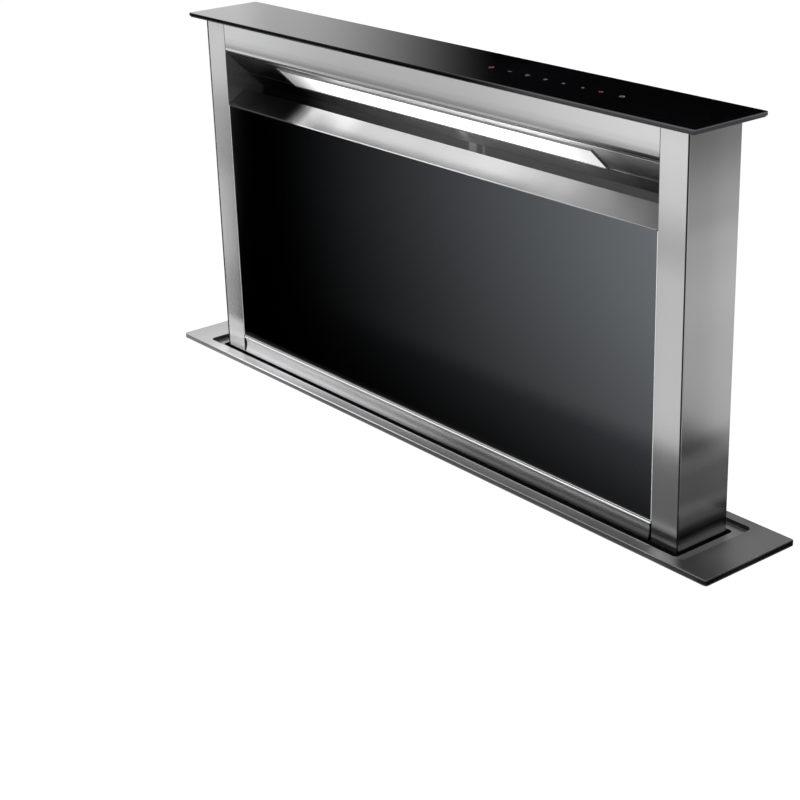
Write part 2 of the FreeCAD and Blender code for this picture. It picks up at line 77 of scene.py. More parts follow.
def placeCamera():
    turn, dip, lean = (math.radians(camera[key]) for key in ("azimuth", "pitch", "roll"))
    level = Vector((-math.sin(turn), math.cos(turn), 0))
    side = Vector((math.cos(turn), math.sin(turn), 0))
    upright = Vector((0, 0, 1))
    ahead = level * math.cos(dip) - upright * math.sin(dip)
    above = upright * math.cos(dip) + level * math.sin(dip)
    right = side * math.cos(lean) + above * math.sin(lean)
    up = above * math.cos(lean) - side * math.sin(lean)
    lens = bpy.data.cameras.new("camera")
    lens.lens = camera["lens"]
    lens.shift_y = camera["shiftUp"]
    eye = bpy.data.objects.new("camera", lens)
    bpy.context.scene.collection.objects.link(eye)
    facing = Matrix((right, up, -ahead)).transposed().to_4x4()
    eye.matrix_world = Matrix.Translation(camera["place"]) @ facing
    bpy.context.scene.camera = eye


placeCamera()
print("camera placed")


# node helpers
def addNode(finish, kind, inputs=None, **settings):
    made = finish.node_tree.nodes.new("ShaderNode" + kind)
    for name, value in settings.items():
        setattr(made, name, value)
    for socket, value in (inputs or {}).items():
        if isinstance(value, bpy.types.NodeSocket):
            finish.node_tree.links.new(value, made.inputs[socket])
        else:
            made.inputs[socket].default_value = value
    return made


def calc(finish, operation, first, second=0.0):
    return addNode(finish, "Math", {0: first, 1: second}, operation=operation).outputs[0]


def multiply(finish, first, second):
    return calc(finish, "MULTIPLY", first, second)


def mixed(finish, share, low, high):
    return addNode(finish, "Mix", {0: share, 2: low, 3: high}).outputs[0]


def remap(finish, value, start, end, low=0, high=1, kind="SMOOTHSTEP"):
    inputs = {"Value": value, "From Min": start, "From Max": end, "To Min": low, "To Max": high}
    return addNode(finish, "MapRange", inputs, interpolation_type=kind).outputs["Result"]


def within(finish, value, outer, inner, innerEnd, outerEnd):
    rise = remap(finish, value, outer, inner)
    return multiply(finish, rise, remap(finish, value, innerEnd, outerEnd, 1, 0))


def onObject(finish, stretch=(1, 1, 1)):
    place = addNode(finish, "TexCoord").outputs["Object"]
    return addNode(finish, "Mapping", {"Vector": place, "Scale": stretch}).outputs["Vector"]


def along(finish, axis):
    place = addNode(finish, "TexCoord").outputs["Object"]
    return addNode(finish, "SeparateXYZ", {"Vector": place}).outputs[axis.upper()]


def noise(finish, scale, detail=2.0, stretch=(1, 1, 1)):
    inputs = {"Vector": onObject(finish, stretch), "Scale": scale, "Detail": detail}
    return addNode(finish, "TexNoise", inputs).outputs["Fac"]


noiseSpan = (0.3, 0.7)  # nearly all of a noise lies between these


def cloudy(finish, scale, detail, low, high, kind="SMOOTHSTEP"):
    return remap(finish, noise(finish, scale, detail), *noiseSpan, low, high, kind)


def toneAlong(finish, axis, stops, tint=(1.0, 1.0, 1.0)):
    start, end = stops[0][0], stops[-1][0]
    share = remap(finish, along(finish, axis), start, end, 0.0, 1.0, "LINEAR")
    ramp = addNode(finish, "ValToRGB", {"Fac": share})
    ramp.color_ramp.interpolation = "EASE"
    keys = ramp.color_ramp.elements
    while len(keys) < len(stops):
        keys.new(0.5)
    for key, (place, tone) in zip(keys, stops):
        key.position = (place - start) / (end - start)
        key.color = (tone * tint[0], tone * tint[1], tone * tint[2], 1)
    return ramp.outputs["Color"]


def redOf(finish, colour):
    return addNode(finish, "SeparateColor", {"Color": colour}).outputs["Red"]


def amountAlong(finish, axis, stops):
    return redOf(finish, toneAlong(finish, axis, stops))


def tinted(finish, tone, tint=(1, 1, 1)):
    parts = [tone if share == 1 else multiply(finish, tone, share) for share in tint]
    inputs = dict(zip(("Red", "Green", "Blue"), parts))
    return addNode(finish, "CombineColor", inputs).outputs["Color"]


def plain(finish, colour):
    base = addNode(finish, "RGB").outputs[0]
    base.default_value = (*colour, 1)
    return base


def times(finish, colour, amount):
    inputs = {0: 1.0, 6: colour, 7: tinted(finish, amount)}
    return addNode(finish, "Mix", inputs, data_type="RGBA", blend_type="MULTIPLY").outputs[2]


def shaderOf(finish):
    return finish.node_tree.nodes["Principled BSDF"]


def newFinish(name, **values):
    finish = bpy.data.materials.new(name)
    finish.use_nodes = True
    for key, value in values.items():
        shaderOf(finish).inputs[key.replace("_", " ")].default_value = value
    return finish


def feed(finish, socket, output):
    finish.node_tree.links.new(output, shaderOf(finish).inputs[socket])


def dent(finish, height, strength, depth):
    bump = addNode(finish, "Bump", {"Height": height, "Strength": strength, "Distance": depth})
    feed(finish, "Normal", bump.outputs["Normal"])


def roughen(finish, grain, roughness):
    rough = remap(finish, grain, *noiseSpan, roughness - 0.06, roughness + 0.08, "LINEAR")
    feed(finish, "Roughness", rough)


def finishOf(name):
    return nodes[name].material_slots[0].material


def dress(finish, *names):
    for name in names:
        slots = nodes[name].material_slots
        if not slots:
            nodes[name].data.materials.append(finish)
        for slot in slots:
            slot.material = finish


# metals
steel = {
    "lineScale": 2600,  # polishing lines per metre across the grain
    "lineStretch": 0.004,
    "lineDepth": 0.000004,
    "lineTone": 0.01,
    "bandScale": 60,
    "bandTone": 0.01,
    "tint": (1, 1, 1.01),
}


def grainStretch(grain):
    short = steel["lineStretch"]
    return tuple(short if axis == grain else 1.0 for axis in "xyz")


def steelAlong(finish, axis, tones):
    return toneAlong(finish, axis, tones, steel["tint"])


def brushed(finish, grain, colour, roughness, dentShare=0.15):
    lines = noise(finish, steel["lineScale"], 3.0, grainStretch(grain))
    bands = noise(finish, steel["bandScale"], 1.0, grainStretch(grain))
    lineTone, bandTone = steel["lineTone"], steel["bandTone"]
    shade = calc(
        finish, "ADD",
        remap(finish, lines, *noiseSpan, 1 - lineTone, 1 + lineTone, "LINEAR"),
        remap(finish, bands, *noiseSpan, -bandTone, bandTone, "LINEAR"),
    )
    feed(finish, "Base Color", times(finish, colour, shade))
    rough = remap(finish, lines, 0.25, 0.75, roughness - 0.02, roughness + 0.03, "LINEAR")
    feed(finish, "Roughness", rough)
    if dentShare:
        dent(finish, lines, dentShare, steel["lineDepth"])


def brushedSteel(name, grain, tones, roughness, metal=1.0):
    finish = newFinish(name, Metallic=metal)
    brushed(finish, grain, steelAlong(finish, grain, tones), roughness)
    return finish


flange = {
    # painted reflection: the flange is lighter towards the left end and darker towards the right
    "tones": [
        (-0.44, 0.44), (-0.4, 0.5), (-0.35, 0.72), (-0.25, 0.95), (-0.1, 0.62), (0.1, 0.36),
        (0.2, 0.29), (0.34, 0.22), (0.38, 0.28), (0.42, 0.36), (0.44, 0.36),
    ],
    # less metal on the top at the left lets it catch diffuse light: painted light
    "metal": [(-0.44, 1.0), (-0.36, 0.9), (-0.25, 0.55), (-0.1, 0.84), (0.02, 1.0), (0.44, 1.0)],
    "roughness": 0.34,
    "pocket": (0.3992, 0.0502),  # half length and half depth that hold the sunk pocket
    # painted shade on the pocket's walls, and painted light on its floor, brighter towards the right
    "floorRun": (0.3, 0.39), "floorShade": (0.85, 1.615),
    "wallFoot": (0.0011, 0.0016), "wallTop": (0.005, 0.006), "wallShade": 0.24,
    # painted shade at the front of the right tip and on the right end face, darker rearwards; painted light
    # on the front face and painted shade on its top edge, both towards the right
    "tip": (0.36, 0.41), "frontRun": (-0.056, -0.005), "frontShade": (0.42, 0.85),
    "beyond": (0.4385, 0.4396), "endRun": (-0.01, 0.05), "endShade": (0.4, 0.18),
    "rightward": (-0.15, 0.25), "frontFace": (-0.0614, -0.0611), "faceShade": 1.45,
    "edge": (0.0043, 0.0047, 0.00592, 0.00598), "edgeShade": 0.5,
    "onTop": (0.0052, 0.0058),
}


def flangeFinish():
    finish = newFinish("flange", Metallic=1.0)
    x, y, z = (along(finish, axis) for axis in "xyz")
    insideX, insideY = (
        calc(finish, "LESS_THAN", calc(finish, "ABSOLUTE", way), limit)
        for way, limit in zip((x, y), flange["pocket"])
    )
    inside = multiply(finish, insideX, insideY)
    # painted light on the pocket floor and painted shade on its walls
    floorShade = remap(finish, x, *flange["floorRun"], *flange["floorShade"])
    lower = mixed(finish, remap(finish, z, *flange["wallFoot"]), floorShade, flange["wallShade"])
    wall = mixed(finish, remap(finish, z, *flange["wallTop"]), lower, 1.0)
    shade = mixed(finish, inside, 1.0, wall)
    frontShade = remap(finish, y, *flange["frontRun"], *flange["frontShade"])
    endShade = remap(finish, y, *flange["endRun"], *flange["endShade"])
    rightward = remap(finish, x, *flange["rightward"])
    face = multiply(finish, remap(finish, y, *flange["frontFace"], 1, 0), rightward)
    edge = multiply(finish, within(finish, z, *flange["edge"]), rightward)
    # painted shade and painted light at the right tip, end face, front face and front edge
    for share, tone in (
        (remap(finish, x, *flange["tip"]), frontShade),
        (remap(finish, x, *flange["beyond"]), endShade),
        (face, flange["faceShade"]),
        (edge, flange["edgeShade"]),
    ):
        shade = multiply(finish, shade, mixed(finish, share, 1.0, tone))
    colour = steelAlong(finish, "x", flange["tones"])
    brushed(finish, "x", times(finish, colour, shade), flange["roughness"])
    metal = amountAlong(finish, "x", flange["metal"])
    feed(finish, "Metallic", mixed(finish, remap(finish, z, *flange["onTop"]), 1.0, metal))
    return finish


# painted highlights on the fascia's hem: bright and dark lines along its height, the bright ones with less
# metal; the roll is painted darker towards the right (painted shade)
fasciaHem = {
    "roll": (0.3731, 0.3736, 0.3776, 0.3786), "darkEnd": (0.16, 0.33),
    "tones": [
        (0.372, 0.9), (0.3732, 0.9), (0.3738, 0.2), (0.3746, 0.2), (0.3752, 0.95), (0.3772, 0.95),
        (0.3786, 0.55), (0.386, 0.9), (0.392, 1.0), (0.409, 1.0),
    ],
    "metal": [
        (0.372, 0.4), (0.3732, 0.4), (0.3738, 1.0), (0.3748, 1.0), (0.3754, 0.4), (0.3772, 0.4),
        (0.3784, 1.0), (0.409, 1.0),
    ],
    "darkShade": 0.1, "roughness": 0.24,
}


def fasciaFinish(tones):
    finish = newFinish("fascia", Metallic=1.0)
    colour = steelAlong(finish, "x", tones)
    # painted highlight lines and painted shade on the hem
    share = amountAlong(finish, "z", fasciaHem["tones"])
    rightward = remap(finish, along(finish, "x"), *fasciaHem["darkEnd"])
    inRoll = multiply(finish, within(finish, along(finish, "z"), *fasciaHem["roll"]), rightward)
    dark = remap(finish, inRoll, 0, 1, 1, fasciaHem["darkShade"], "LINEAR")
    shade = multiply(finish, share, dark)
    brushed(finish, "x", times(finish, colour, shade), fasciaHem["roughness"])
    metal = amountAlong(finish, "z", fasciaHem["metal"])
    feed(finish, "Metallic", calc(finish, "MAXIMUM", metal, inRoll))
    return finish


postSteel = {
    "metal": 0.9, "roughness": 0.2,
    "cheek": (0.3451, 0.3454),  # end of the inner cheek, which is dark at its foot: painted shade between the post and the rail
    "dark": (0.0205, 0.0215),
    # less metal at the foot lets it catch diffuse light: painted light
    "foot": (0.032, 0.046),
}


def postFinish(name, tones, footMetal):
    finish = newFinish(name, Metallic=postSteel["metal"])
    colour = steelAlong(finish, "z", tones)
    aside, z = calc(finish, "ABSOLUTE", along(finish, "x")), along(finish, "z")
    cheek = remap(finish, aside, *postSteel["cheek"], 1, 0)
    low = remap(finish, z, *postSteel["dark"], 1, 0)
    shade = calc(finish, "SUBTRACT", 1.0, multiply(finish, cheek, low))
    brushed(finish, "z", times(finish, colour, shade), postSteel["roughness"])
    metal = remap(finish, z, *postSteel["foot"], footMetal, postSteel["metal"])
    feed(finish, "Metallic", metal)
    return finish


coverSteel = {
    # less metal low down and lighter towards the rear: painted light
    "metal": [(0.03, 1.0), (0.045, 0.5), (0.075, 0.5), (0.11, 1.0)],
    "rearRun": (-0.02, 0.03), "rearShade": (1.0, 1.24), "roughness": 0.2,
}


def coverFinish(tones):
    finish = newFinish("side_cover", Metallic=1.0)
    colour = steelAlong(finish, "z", tones)
    rear = remap(finish, along(finish, "y"), *coverSteel["rearRun"], *coverSteel["rearShade"])
    brushed(finish, "z", times(finish, colour, rear), coverSteel["roughness"])
    feed(finish, "Metallic", toneAlong(finish, "z", coverSteel["metal"]))
    return finish


railSteel = {
    # less metal at the left lets it catch diffuse light, and the right part is painted darker low down and
    # lighter high up: painted light and painted shade
    "metal": [(-0.345, 0.4), (-0.2, 0.55), (0.0, 0.85), (0.1, 1.0), (0.345, 1.0)],
    "rightward": (-0.15, 0.2), "heights": (0.004, 0.0185), "shades": (-0.6, 1.4),
    "gap": (0.3402, 0.3406), "gapShade": 0.02,  # painted shade of the gap at the right end
    "roughness": 0.3,
}


def railFinish(tones):
    finish = newFinish("rail", Metallic=1.0)
    x = along(finish, "x")
    amount = remap(finish, x, *railSteel["rightward"])
    heights, shades = railSteel["heights"], railSteel["shades"]
    rise = remap(finish, along(finish, "z"), *heights, *shades, "LINEAR")
    shade = calc(finish, "ADD", multiply(finish, amount, rise), 1.0)
    shade = multiply(finish, shade, remap(finish, x, *railSteel["gap"], 1, railSteel["gapShade"]))
    colour = times(finish, steelAlong(finish, "x", tones), shade)
    brushed(finish, "x", colour, railSteel["roughness"], 0)
    feed(finish, "Metallic", toneAlong(finish, "x", railSteel["metal"]))
    return finish


lip = {
    # painted reflection: dark at the left end, then the mirrored lamp as a bright stretch, greyer to the
    # right; less metal there shows painted light
    "tones": [
        (-0.345, 0.12), (-0.31, 0.03), (-0.24, 0.02), (-0.215, 0.45), (-0.2, 0.85), (-0.15, 0.68),
        (-0.1, 0.46), (0.0, 0.48), (0.1, 0.54), (0.2, 0.4), (0.25, 0.3), (0.3, 0.27), (0.345, 0.2),
    ],
    "metal": [(-0.345, 1.0), (-0.235, 1.0), (-0.205, 0.5), (-0.16, 0.9), (-0.13, 1.0), (0.345, 1.0)],
    "soften": (0.12, 0.26), "roughness": (0.2, 0.5),
}


def lipFinish():
    finish = newFinish("deflector", Metallic=1.0)
    brushed(finish, "x", steelAlong(finish, "x", lip["tones"]), lip["roughness"][0])
    feed(finish, "Roughness", remap(finish, along(finish, "x"), *lip["soften"], *lip["roughness"]))
    feed(finish, "Metallic", toneAlong(finish, "x", lip["metal"]))
    return finish


# painted light: two light grey stripes with less metal on the inlet's ceiling and duct wall
innerLight = {
    "first": (0.027, 0.031, 0.039, 0.043),
    "second": (0.049, 0.051, 0.053, 0.056), "secondShare": 0.7,
    "ceiling": (0.3445, 0.3435), "rise": (0.312, 0.342), "foot": 0.45,
    "grey": 0.95, "metal": 0.5,
}


def lightPatch(finish):
    x, z = along(finish, "x"), along(finish, "z")
    second = multiply(finish, within(finish, x, *innerLight["second"]), innerLight["secondShare"])
    pair = calc(finish, "ADD", within(finish, x, *innerLight["first"]), second)
    pair = multiply(finish, pair, remap(finish, z, *innerLight["ceiling"]))
    return multiply(finish, pair, remap(finish, z, *innerLight["rise"], innerLight["foot"]))


def innerFinish(name, tones, roughness):
    finish = newFinish(name, Metallic=1.0)
    patch = lightPatch(finish)
    inputs = {0: patch, 6: steelAlong(finish, "x", tones), 7: (innerLight["grey"],) * 3 + (1,)}
    colour = addNode(finish, "Mix", inputs, data_type="RGBA").outputs[2]
    brushed(finish, "x", colour, roughness)
    feed(finish, "Metallic", remap(finish, patch, 0, 1, 1, innerLight["metal"], "LINEAR"))
    return finish


zincFlakes = {
    "scales": (70, 190), "shares": (0.65, 0.35), "warp": 0.6, "span": (0.1, 0.9),
    "tone": (0.46, 0.7), "tint": (1, 1.012, 1.025), "roughness": (0.3, 0.5), "cloud": 0.03,
}


def galvanisedSheet():
    finish = newFinish("galvanised", Metallic=1.0)
    flakes = []
    for scale, share in zip(zincFlakes["scales"], zincFlakes["shares"]):
        inputs = {0: onObject(finish), 1: noise(finish, scale * zincFlakes["warp"])}
        place = addNode(finish, "VectorMath", inputs, operation="ADD").outputs[0]
        inputs = {"Vector": place, "Scale": scale, "Randomness": 1.0}
        cells = addNode(finish, "TexVoronoi", inputs).outputs["Color"]
        flakes.append(multiply(finish, redOf(finish, cells), share))
    flake = calc(finish, "ADD", *flakes)
    cloud = cloudy(finish, 5, 2.0, -zincFlakes["cloud"], zincFlakes["cloud"])
    tone = remap(finish, flake, *zincFlakes["span"], *zincFlakes["tone"], "LINEAR")
    shade = calc(finish, "ADD", tone, cloud)
    feed(finish, "Base Color", tinted(finish, shade, zincFlakes["tint"]))
    rough = remap(finish, flake, *zincFlakes["span"], *zincFlakes["roughness"], "LINEAR")
    feed(finish, "Roughness", rough)
    dent(finish, flake, 0.2, 0.00006)
    return finish


meshFilter = {
    "cell": 0.0045, "lean": 0.6, "strand": (0.23, 0.47), "tones": (0.12, 0.72),
    "speck": (0.92, 1.04), "roughness": (0.3, 0.42),
}


def filterMesh():
    finish = newFinish("filter_mesh", Metallic=1.0)
    x, z = along(finish, "x"), along(finish, "z")
    waves = []
    for lean in (meshFilter["lean"], -meshFilter["lean"]):
        run = calc(finish, "ADD", x, multiply(finish, z, lean))
        turn = multiply(finish, run, math.tau / meshFilter["cell"])
        waves.append(calc(finish, "ABSOLUTE", calc(finish, "SINE", turn)))
    wires = remap(finish, calc(finish, "MINIMUM", *waves), *meshFilter["strand"], 1, 0)
    speck = cloudy(finish, 300, 3.0, *meshFilter["speck"], "LINEAR")
    tone = remap(finish, wires, 0, 1, *meshFilter["tones"], "LINEAR")
    feed(finish, "Base Color", tinted(finish, multiply(finish, tone, speck)))
    rough = remap(finish, speck, *meshFilter["speck"], *meshFilter["roughness"], "LINEAR")
    feed(finish, "Roughness", rough)
    dent(finish, wires, 0.6, 0.0006)
    return finish


def plainMetal(name, tone, roughness, grainScale, tint=(1, 1, 1)):
    finish = newFinish(name, Metallic=1.0)
    speck = noise(finish, grainScale, 4.0)
    fine = remap(finish, speck, *noiseSpan, 0.93, 1.03, "LINEAR")
    shade = calc(finish, "ADD", fine, cloudy(finish, 9, 2.0, -0.06, 0.04))
    base = plain(finish, [tone * share for share in tint])
    feed(finish, "Base Color", times(finish, base, shade))
    roughen(finish, speck, roughness)
    dent(finish, speck, 0.12, 0.00005)
    return finish


def moulded(name, colour, roughness, grainScale=1600, grainDepth=0.0001, gloss=0.5):
    finish = newFinish(name, Specular_IOR_Level=gloss)
    grain = noise(finish, grainScale)
    cloud = cloudy(finish, 12, 2.0, 0.88, 1.08)
    feed(finish, "Base Color", times(finish, plain(finish, colour), cloud))
    roughen(finish, grain, roughness)
    dent(finish, grain, 0.3, grainDepth)
    return finish


# glass
# painted reflection: the black glass greys towards the upper right
doorGlass = {
    "tint": (0.80, 0.90, 1.0),
    "brightest": 0.108,
    "across": (-0.30, 0.34),
    "upward": (-0.02, 0.30),
    "roughness": (0.03, 0.06),
}
capShade = {
    "cloud": (0.0015, 0.003), "roughness": (0.03, 0.05), "tint": (1, 1, 1.2),
    # the ground edge is grey, and painted brighter towards the right: painted highlight
    "ground": (0.4126, 0.4129, 0.41375, 0.41392), "rightward": (0.02, 0.2), "groundGreyAndHighlight": (0.004, 0.06),
}


def wiped(finish, scale, stretch, roughness):
    wipes = noise(finish, scale, 3.0, stretch)
    feed(finish, "Roughness", remap(finish, wipes, 0.35, 0.7, *roughness))


def doorGlassFinish():
    finish = newFinish("door_glass", IOR=1.5)
    side = remap(finish, along(finish, "x"), *doorGlass["across"], 0, 1, "LINEAR")
    upward = remap(finish, along(finish, "z"), *doorGlass["upward"])
    # painted reflection, stronger towards the right and the top
    sheenShare = multiply(finish, multiply(finish, side, side), upward)
    paintedSheen = multiply(finish, sheenShare, cloudy(finish, 3, 1.0, 0.94, 1.04))
    tone = multiply(finish, paintedSheen, doorGlass["brightest"])
    feed(finish, "Base Color", tinted(finish, tone, doorGlass["tint"]))
    wiped(finish, 18, (1, 1, 0.3), doorGlass["roughness"])
    return finish


def capGlassFinish():
    finish = newFinish("cap_glass", IOR=1.5)
    cloud = cloudy(finish, 5, 2.0, *capShade["cloud"])
    ground = within(finish, along(finish, "z"), *capShade["ground"])
    bright = remap(finish, along(finish, "x"), *capShade["rightward"], *capShade["groundGreyAndHighlight"])
    tone = calc(finish, "ADD", cloud, multiply(finish, ground, bright))
    feed(finish, "Base Color", tinted(finish, tone, capShade["tint"]))
    wiped(finish, 22, (1, 0.4, 1), capShade["roughness"])
    return finish


# lamp
lamp = {"glow": 1.12, "paleEnd": 0.25, "fullFrom": 0.172, "leftTone": 0.16, "rightTone": 0.55}


def lampFinish():
    glass = {"Roughness": 0.35, "Base_Color": (0.3, 0.3, 0.3, 1)}
    finish = newFinish("lamp_glow", Emission_Strength=lamp["glow"], **glass)
    x = along(finish, "x")
    left = remap(finish, x, -lamp["paleEnd"], -lamp["fullFrom"], lamp["leftTone"])
    right = remap(finish, x, lamp["fullFrom"], lamp["paleEnd"], 1, lamp["rightTone"])
    glow = multiply(finish, multiply(finish, left, right), cloudy(finish, 30, 1.0, 0.97, 1.03))
    feed(finish, "Emission Color", tinted(finish, glow))
    dent(finish, noise(finish, 1400), 0.1, 0.00005)
    return finish


# finishes on the CAD nodes
def dressAll():
    dress(flangeFinish(), "worktop_frame")
    # the posts' tones along their height are painted reflection and painted shade; the left post's foot has
    # less metal and catches diffuse light: painted light
    leftTones = [
        (-0.15, 0.6), (0.0, 0.9), (0.014, 0.9), (0.022, 0.72), (0.034, 0.72), (0.05, 0.66),
        (0.1, 0.64), (0.2, 0.62), (0.25, 0.46), (0.3, 0.46),
        (0.35, 0.57), (0.4, 0.62),
    ]
    rightTones = [
        (-0.15, 0.3), (0.0, 0.17), (0.012, 0.2), (0.03, 0.5), (0.09, 0.49), (0.115, 0.66),
        (0.2, 0.63), (0.26, 0.6), (0.3, 0.46),
        (0.35, 0.58), (0.4, 0.62),
    ]
    dress(postFinish("post_left", leftTones, 0.35), "post_left")
    dress(postFinish("post_right", rightTones, 0.9), "post_right")
    # the side covers' tones along their height are painted reflection, dark near the foot
    coverTones = [
        (-0.15, 0.3), (0.0, 0.2), (0.011, 0.18), (0.018, 0.04), (0.022, 0.05), (0.03, 0.2),
        (0.045, 0.16), (0.055, 0.13), (0.075, 0.13), (0.1, 0.29), (0.125, 0.41), (0.2, 0.43),
        (0.25, 0.46), (0.3, 0.42), (0.33, 0.34), (0.409, 0.155),
    ]
    dress(coverFinish(coverTones), "side_cover_left", "side_cover_right")
    # the fascia's tones along x are painted reflection
    dress(fasciaFinish([(-0.345, 0.68), (-0.1, 0.54), (0.05, 0.55), (0.345, 0.68)]), "upper_fascia")
    dress(brushedSteel("back_panel", "z", [(-0.15, 0.6), (0.4, 0.64)], 0.28), "tower_back_panel")
    # the rail's tones along x are painted reflection, light at the left and dark at the right
    dress(railFinish([(-0.345, 0.95), (-0.1, 0.8), (0.1, 0.5), (0.345, 0.38)]), "lower_rail")
    dress(brushedSteel("skirt", "x", [(-0.345, 0.42), (0.345, 0.5)], 0.34), "lower_skirt")
    # painted shade, nearly black at the left end, and painted reflection of the lamp, lighter towards the
    # middle
    ceilingTones = [
        (-0.345, 0.04), (-0.31, 0.015), (-0.27, 0.012), (-0.2, 0.75), (0.0, 0.98), (0.2, 0.9), (0.262, 0.46),
        (0.29, 0.22), (0.345, 0.18),
    ]
    dress(innerFinish("inlet_ceiling", ceilingTones, 0.3), "inlet_ceiling")
    # painted shade at the duct wall's left end
    wallTones = [(-0.345, 0.015), (-0.27, 0.015), (-0.19, 0.34), (0.0, 0.62), (0.2, 0.6), (0.345, 0.6)]
    dress(innerFinish("duct_wall", wallTones, 0.42), "duct_back_wall")
    dress(lipFinish(), "deflector")
    # the door trim has little metal, so it shows as a bright line: painted highlight
    dress(brushedSteel("door_trim", "z", [(0.0, 0.95), (0.32, 0.95)], 0.2, 0.3), "door_frame")
    dress(doorGlassFinish(), "door_glass")
    dress(capGlassFinish(), "top_glass")
    dress(lampFinish(), "lamp_diffuser")
    sheet = galvanisedSheet()
    dress(
        sheet, "housing_front_panel", "housing_rear_panel", "housing_left_panel", "housing_right_panel",
        "housing_floor", "clamp_bracket_left", "clamp_bracket_right", "floor_bracket_left",
        "floor_bracket_right", "gearmotor_bracket", "carriage_frame", "filter_support",
    )
    aluminium = plainMetal("aluminium", 0.72, 0.36, 700, steel["tint"])
    dress(
        aluminium, "guide_rail_left", "guide_rail_right", "lamp_housing", "runner_left",
        "runner_right", "shaft_bearings",
    )
    dress(plainMetal("carrier_rim", 0.1, 0.45, 900), "glass_carrier")
    dress(filterMesh(), "grease_filter_left", "grease_filter_right")
    dress(plainMetal("bright_steel", 0.6, 0.2, 900), "drive_shaft", "door_magnets")
    dress(plainMetal("zinc", 0.62, 0.3, 1200, (1, 1, 1.03)), "panel_screws", "clamp_screws")
    blackPlastic = moulded("black_plastic", (0.022, 0.023, 0.025), 0.48)
    dress(
        blackPlastic, "touch_module", "fan_scroll", "outlet_collar", "fan_wheel", "cable_gland",
        "idler_pulley_left", "idler_pulley_right", "drive_pulleys",
    )
    greyPlastic = moulded("grey_plastic", (0.27, 0.28, 0.29), 0.45)
    dress(greyPlastic, "control_box", "control_box_lid", "damper_flap_left", "damper_flap_right")
    rubber = moulded("rubber", (0.014, 0.014, 0.014), 0.75, 900, 0.0002)
    dress(rubber, "frame_gasket", "tower_wiper", "lift_belt_left", "lift_belt_right")
    dress(moulded("board", (0.02, 0.16, 0.07), 0.4, 300), "circuit_board")
    dress(moulded("motor_paint", (0.06, 0.065, 0.07), 0.38, 500, 0.0003), "fan_motor", "gearmotor")


dressAll()
print("finishes on", len(nodes), "nodes")


# pieces
slotOf = {part["node"]: part["material_slot"] for part in frame["record"]["subparts"]}


def rectangle(mesh, low, high, z):
    corners = [(low[0], low[1]), (high[0], low[1]), (high[0], high[1]), (low[0], high[1])]
    verts = [mesh.verts.new((x, y, z)) for x, y in corners]
    return loopEdges(mesh, verts)


def intoScene(name, mesh, finish):
    data = bpy.data.meshes.new(name)
    mesh.to_mesh(data)
    mesh.free()
    data.materials.append(finish)
    piece = bpy.data.objects.new(name, data)
    bpy.context.scene.collection.objects.link(piece)
    return piece


def newPiece(name, mesh, finish, body, slot, *replaced):
    piece = intoScene(name, mesh, finish)
    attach(piece, body)
    if replaced:
        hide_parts(*replaced)
    return piece


def shadeByAngle(mesh, limit):
    for face in mesh.faces:
        face.smooth = True
    for edge in mesh.edges:
        edge.smooth = edge.is_manifold and edge.calc_face_angle(0) < limit


def weighNormals(piece):
    weigh = piece.modifiers.new("weigh", "WEIGHTED_NORMAL")
    weigh.keep_sharp = True


def loopEdges(mesh, verts):
    return [mesh.edges.new((verts[i], verts[(i + 1) % len(verts)])) for i in range(len(verts))]


def joinRings(mesh, first, second):
    for i in range(len(first)):
        ahead = (i + 1) % len(first)
        mesh.faces.new((first[i], first[ahead], second[ahead], second[i]))


def closedTube(mesh, ends):
    joinRings(mesh, *ends)
    for end in ends:
        mesh.faces.new(end)


def closedFrame(mesh, rings):
    for first, second in zip(rings, rings[1:] + rings[:1]):
        joinRings(mesh, first, second)


def sideways(axis):
    return Vector((0, 0, 1)) if abs(axis.z) < 0.5 else Vector((1, 0, 0))


def circle(mesh, place, axis, radius, sides):
    side = sideways(axis)
    across = axis.cross(side)
    verts = []
    for step in range(sides):
        angle = math.tau * step / sides
        reach = side * math.cos(angle) + across * math.sin(angle)
        verts.append(mesh.verts.new(Vector(place) + reach * radius))
    return verts


def turned(mesh, profile, place, axis, sides):
    centre, side = Vector(place), sideways(axis)
    verts = [mesh.verts.new(centre + side * radius + axis * rise) for radius, rise in profile]
    edges = [mesh.edges.new(pair) for pair in zip(verts, verts[1:])]
    bmesh.ops.spin(
        mesh, geom=verts + edges, cent=centre, axis=axis, angle=math.tau, steps=sides, use_merge=True,
    )
    bmesh.ops.remove_doubles(mesh, verts=mesh.verts, dist=0.000001)
    bmesh.ops.dissolve_degenerate(mesh, edges=mesh.edges, dist=0.000001)


def finished(mesh, limit=0.6):
    bmesh.ops.recalc_face_normals(mesh, faces=mesh.faces)
    shadeByAngle(mesh, limit)
    return mesh


def roundOff(mesh, edges, offset, steps):
    bmesh.ops.bevel(
        mesh, geom=edges, offset=offset, offset_type="OFFSET", affect="EDGES",
        segments=steps, profile=0.5, material=-1, clamp_overlap=True,
    )


# sheet metal: the CAD parts again, with their sharp edges broken
softEdge = {"segments": 2, "angle": 0.7, "merge": 0.000002, "flat": 0.5, "shade": 0.9}
softWidths = {
    "post_left": 0.0004, "post_right": 0.0004, "side_cover_left": 0.0003, "side_cover_right": 0.0003,
    "upper_fascia": 0.0003, "tower_back_panel": 0.0004, "lower_rail": 0.0003, "lower_skirt": 0.0003,
    "door_frame": 0.0003, "door_glass": 0.0003, "glass_carrier": 0.0005,
    "control_box": 0.0005, "control_box_lid": 0.0006, "housing_front_panel": 0.0003,
    "housing_rear_panel": 0.0003, "housing_left_panel": 0.0003, "housing_right_panel": 0.0003,
    "clamp_bracket_left": 0.0004, "clamp_bracket_right": 0.0004, "floor_bracket_left": 0.0005,
    "floor_bracket_right": 0.0005, "fan_scroll": 0.0008, "inlet_ceiling": 0.0002,
}


